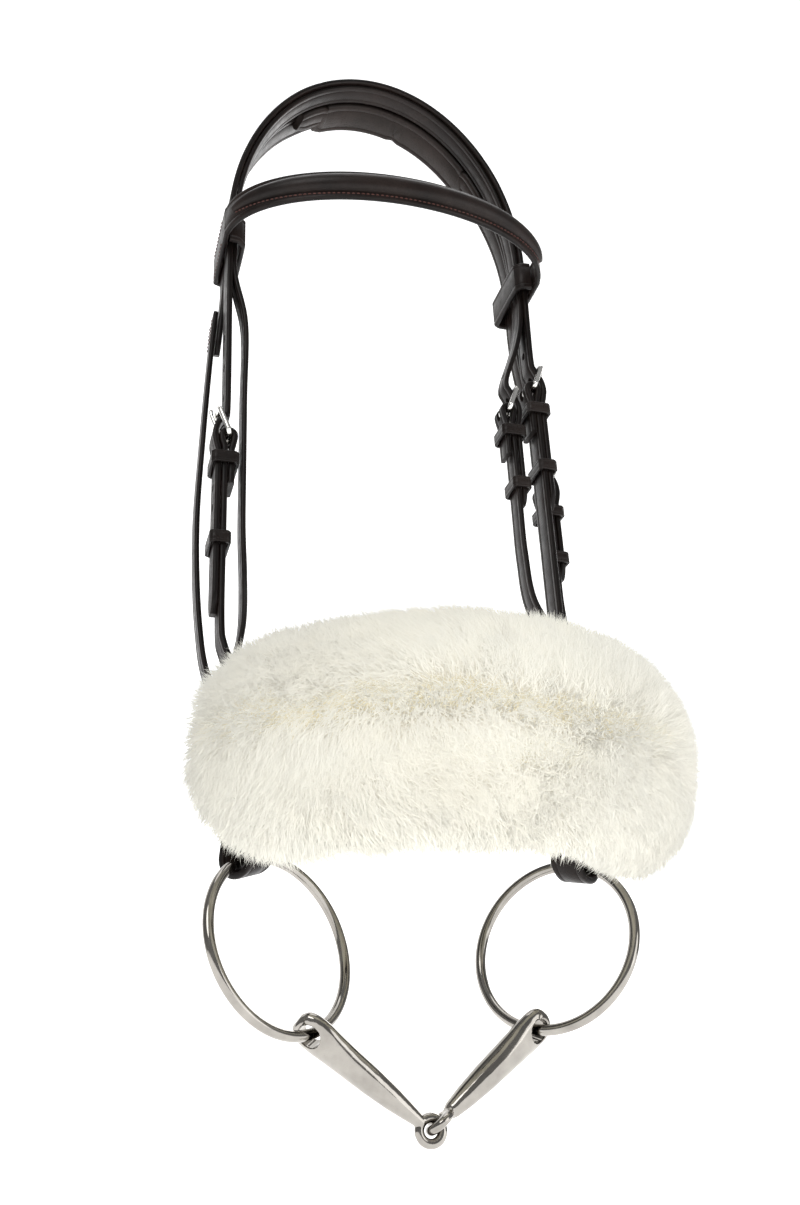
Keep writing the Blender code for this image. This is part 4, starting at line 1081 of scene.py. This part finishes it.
def lock_mesh(points, parting_tan_and_shade, soft):
    """A mesh of locks: a root ring and a middle ring of three points each, and a tip."""
    size, count = len(points), len(soft)
    verts = np.stack(points, axis=1).reshape(-1, 3)
    base = np.arange(count)[:, None] * size
    quads = np.concatenate([base + np.array([[k, (k + 1) % 3, (k + 1) % 3 + 3, k + 3]])
                            for k in range(3)])
    tris = np.concatenate([base + np.array([[k + 3, (k + 1) % 3 + 3, 6]]) for k in range(3)])
    loops = np.concatenate([quads.ravel(), tris.ravel()])
    starts = np.concatenate([np.arange(len(quads)) * 4,
                             len(quads) * 4 + np.arange(len(tris)) * 3])
    mesh = bpy.data.meshes.new("wool_locks")
    mesh.vertices.add(len(verts))
    mesh.vertices.foreach_set("co", (verts * MM).astype(np.float32).ravel())
    mesh.loops.add(len(loops))
    mesh.loops.foreach_set("vertex_index", loops.astype(np.int32))
    mesh.polygons.add(len(starts))
    mesh.polygons.foreach_set("loop_start", starts.astype(np.int32))
    mesh.update(calc_edges=True)
    mesh.shade_smooth()
    shares = np.tile(np.array([0, 0, 0, 0.55, 0.55, 0.55, 1.0]), count)
    # The parting value carries the tan root colour and the painted crease shade into the wool
    # material.
    for name, values in (("tip", shares), ("crease_tan_and_shade", np.repeat(parting_tan_and_shade, size))):
        layer = mesh.attributes.new(name, "FLOAT", "POINT")
        layer.data.foreach_set("value", values.astype(np.float32))
    mesh.normals_split_custom_set_from_vertices(np.repeat(soft, size, axis=0).tolist())
    mesh.materials.append(WOOL)
    return mesh


def sheepskin():
    skin = cover_skin()
    place_piece(skin, "sheepskin_cover", ["sheepskin_cover"])
    fur(skin)


# ---- studio -------------------------------------------------------------------------------
def plain_material(name, colour, emit=0.0):
    n = Nodes(name)
    cloud = n.noise(1.5, 2.0)
    low = tuple(c * 0.985 for c in colour)
    n.finish(Base_Color=n.ramp(cloud, (0.3, low), (0.7, colour)), Roughness=0.9)
    if emit:
        n.finish(Emission_Color=(*colour, 1.0), Emission_Strength=emit)
    return n.mat


def studio():
    """A pale sweep of paper: floor, curve and backdrop in one sheet."""
    floor, wall, reach, bend = -0.78, 6.5, 3.0, 0.9
    profile = [(-2.2, floor), (0.6, floor)]
    for step in range(0, 91, 10):
        a = math.radians(step)
        profile.append((reach - bend + bend * math.sin(a), floor + bend - bend * math.cos(a)))
    profile.append((reach, wall))
    verts = [(x / MM, y / MM, z / MM) for x in (-4.5, 4.5) for y, z in profile]
    count = len(profile)
    faces = [(i, i + 1, count + i + 1, count + i) for i in range(count - 1)]
    sheet = mesh_object("backdrop", verts, faces, plain_material("backdrop_paper",
                                                                 (0.93, 0.93, 0.93), 0.95))


def surroundings():
    """Pale to the camera, and dimmer as a light, so that leather and steel keep their depth."""
    world = bpy.data.worlds.new("studio_air")
    world.use_nodes = True
    world.node_tree.nodes["Background"].inputs["Color"].default_value = (1, 1, 1, 1)
    links = world.node_tree.links
    seen = world.node_tree.nodes.new("ShaderNodeLightPath").outputs["Is Camera Ray"]
    level = world.node_tree.nodes.new("ShaderNodeMapRange")
    level.inputs["To Min"].default_value = 0.3
    level.inputs["To Max"].default_value = 0.97
    links.new(seen, level.inputs["Value"])
    links.new(level.outputs["Result"],
              world.node_tree.nodes["Background"].inputs["Strength"])
    bpy.context.scene.world = world


def studio_lights():
    """Soft round area lights: name, place in metres, size and power."""
    lights = [("key", (-0.9, -1.5, 0.7), 1.1, 12.0), ("fill", (1.2, -1.3, -0.4), 1.2, 8.0),
              ("top", (0.1, 0.1, 1.5), 1.6, 12.0), ("rim", (0.9, 0.9, 0.3), 0.9, 5.0)]
    for name, place, size, power in lights:
        light = bpy.data.lights.new(name, "AREA")
        light.shape, light.size, light.energy = "DISK", size, power
        obj = bpy.data.objects.new(name, light)
        obj.visible_camera = False
        obj.location = place
        aim = Vector((0, -0.05, -0.34)) - Vector(place)
        obj.rotation_euler = aim.to_track_quat("-Z", "Y").to_euler()
        bpy.context.scene.collection.objects.link(obj)


def camera():
    """Below the bridle and a little to its right, looking up."""
    azimuth, elevation, roll = (math.radians(a) for a in (-17.22, -25.05, -2.73))
    right = Vector((math.cos(azimuth), math.sin(azimuth), 0))
    back = Vector((math.sin(azimuth) * math.cos(elevation),
                   -math.cos(azimuth) * math.cos(elevation), math.sin(elevation)))
    up = back.cross(right)
    turned = right * math.cos(roll) + up * math.sin(roll)
    upright = -right * math.sin(roll) + up * math.cos(roll)
    data = bpy.data.cameras.new("camera")
    data.lens, data.sensor_width = 35.84, 36.0
    data.clip_start = 0.01
    obj = bpy.data.objects.new("camera", data)
    turn = Matrix([turned, upright, back]).transposed().to_4x4()
    obj.matrix_world = Matrix.Translation((-0.1678, -0.5612, -0.6349)) @ turn
    bpy.context.scene.collection.objects.link(obj)
    bpy.context.scene.camera = obj


def main():
    headpiece()
    poll_pad()
    browband()
    browband_padding()
    headstrap()
    throatlash()
    nosepiece()
    closure_strip()
    for side in (-1, 1):
        cheekpiece(side)
        buckle_set(f"cheek_{side_name(side)}", cheek_place(side), CHEEK_WIDTH,
                   CHEEK_RUNNER[side])
        bit_ring(side)
        mouthpiece(side)
    buckle_set("headstrap", SLIP, SLIP_WIDTH, -50.0)
    buckle_set("throatlash", THROAT, THROAT_WIDTH, -46.0)
    buckle("chin_buckle", CHIN, CHIN_WIDTH)
    tongue("chin_buckle_tongue", CHIN)
    keeper("chin_keeper", CHIN, KEEPER_AT, CHIN_WIDTH, -3.5, 6.85)
    sheepskin()
    studio()
    surroundings()
    studio_lights()
    camera()
    bpy.context.scene.view_settings.view_transform = "Standard"


main()
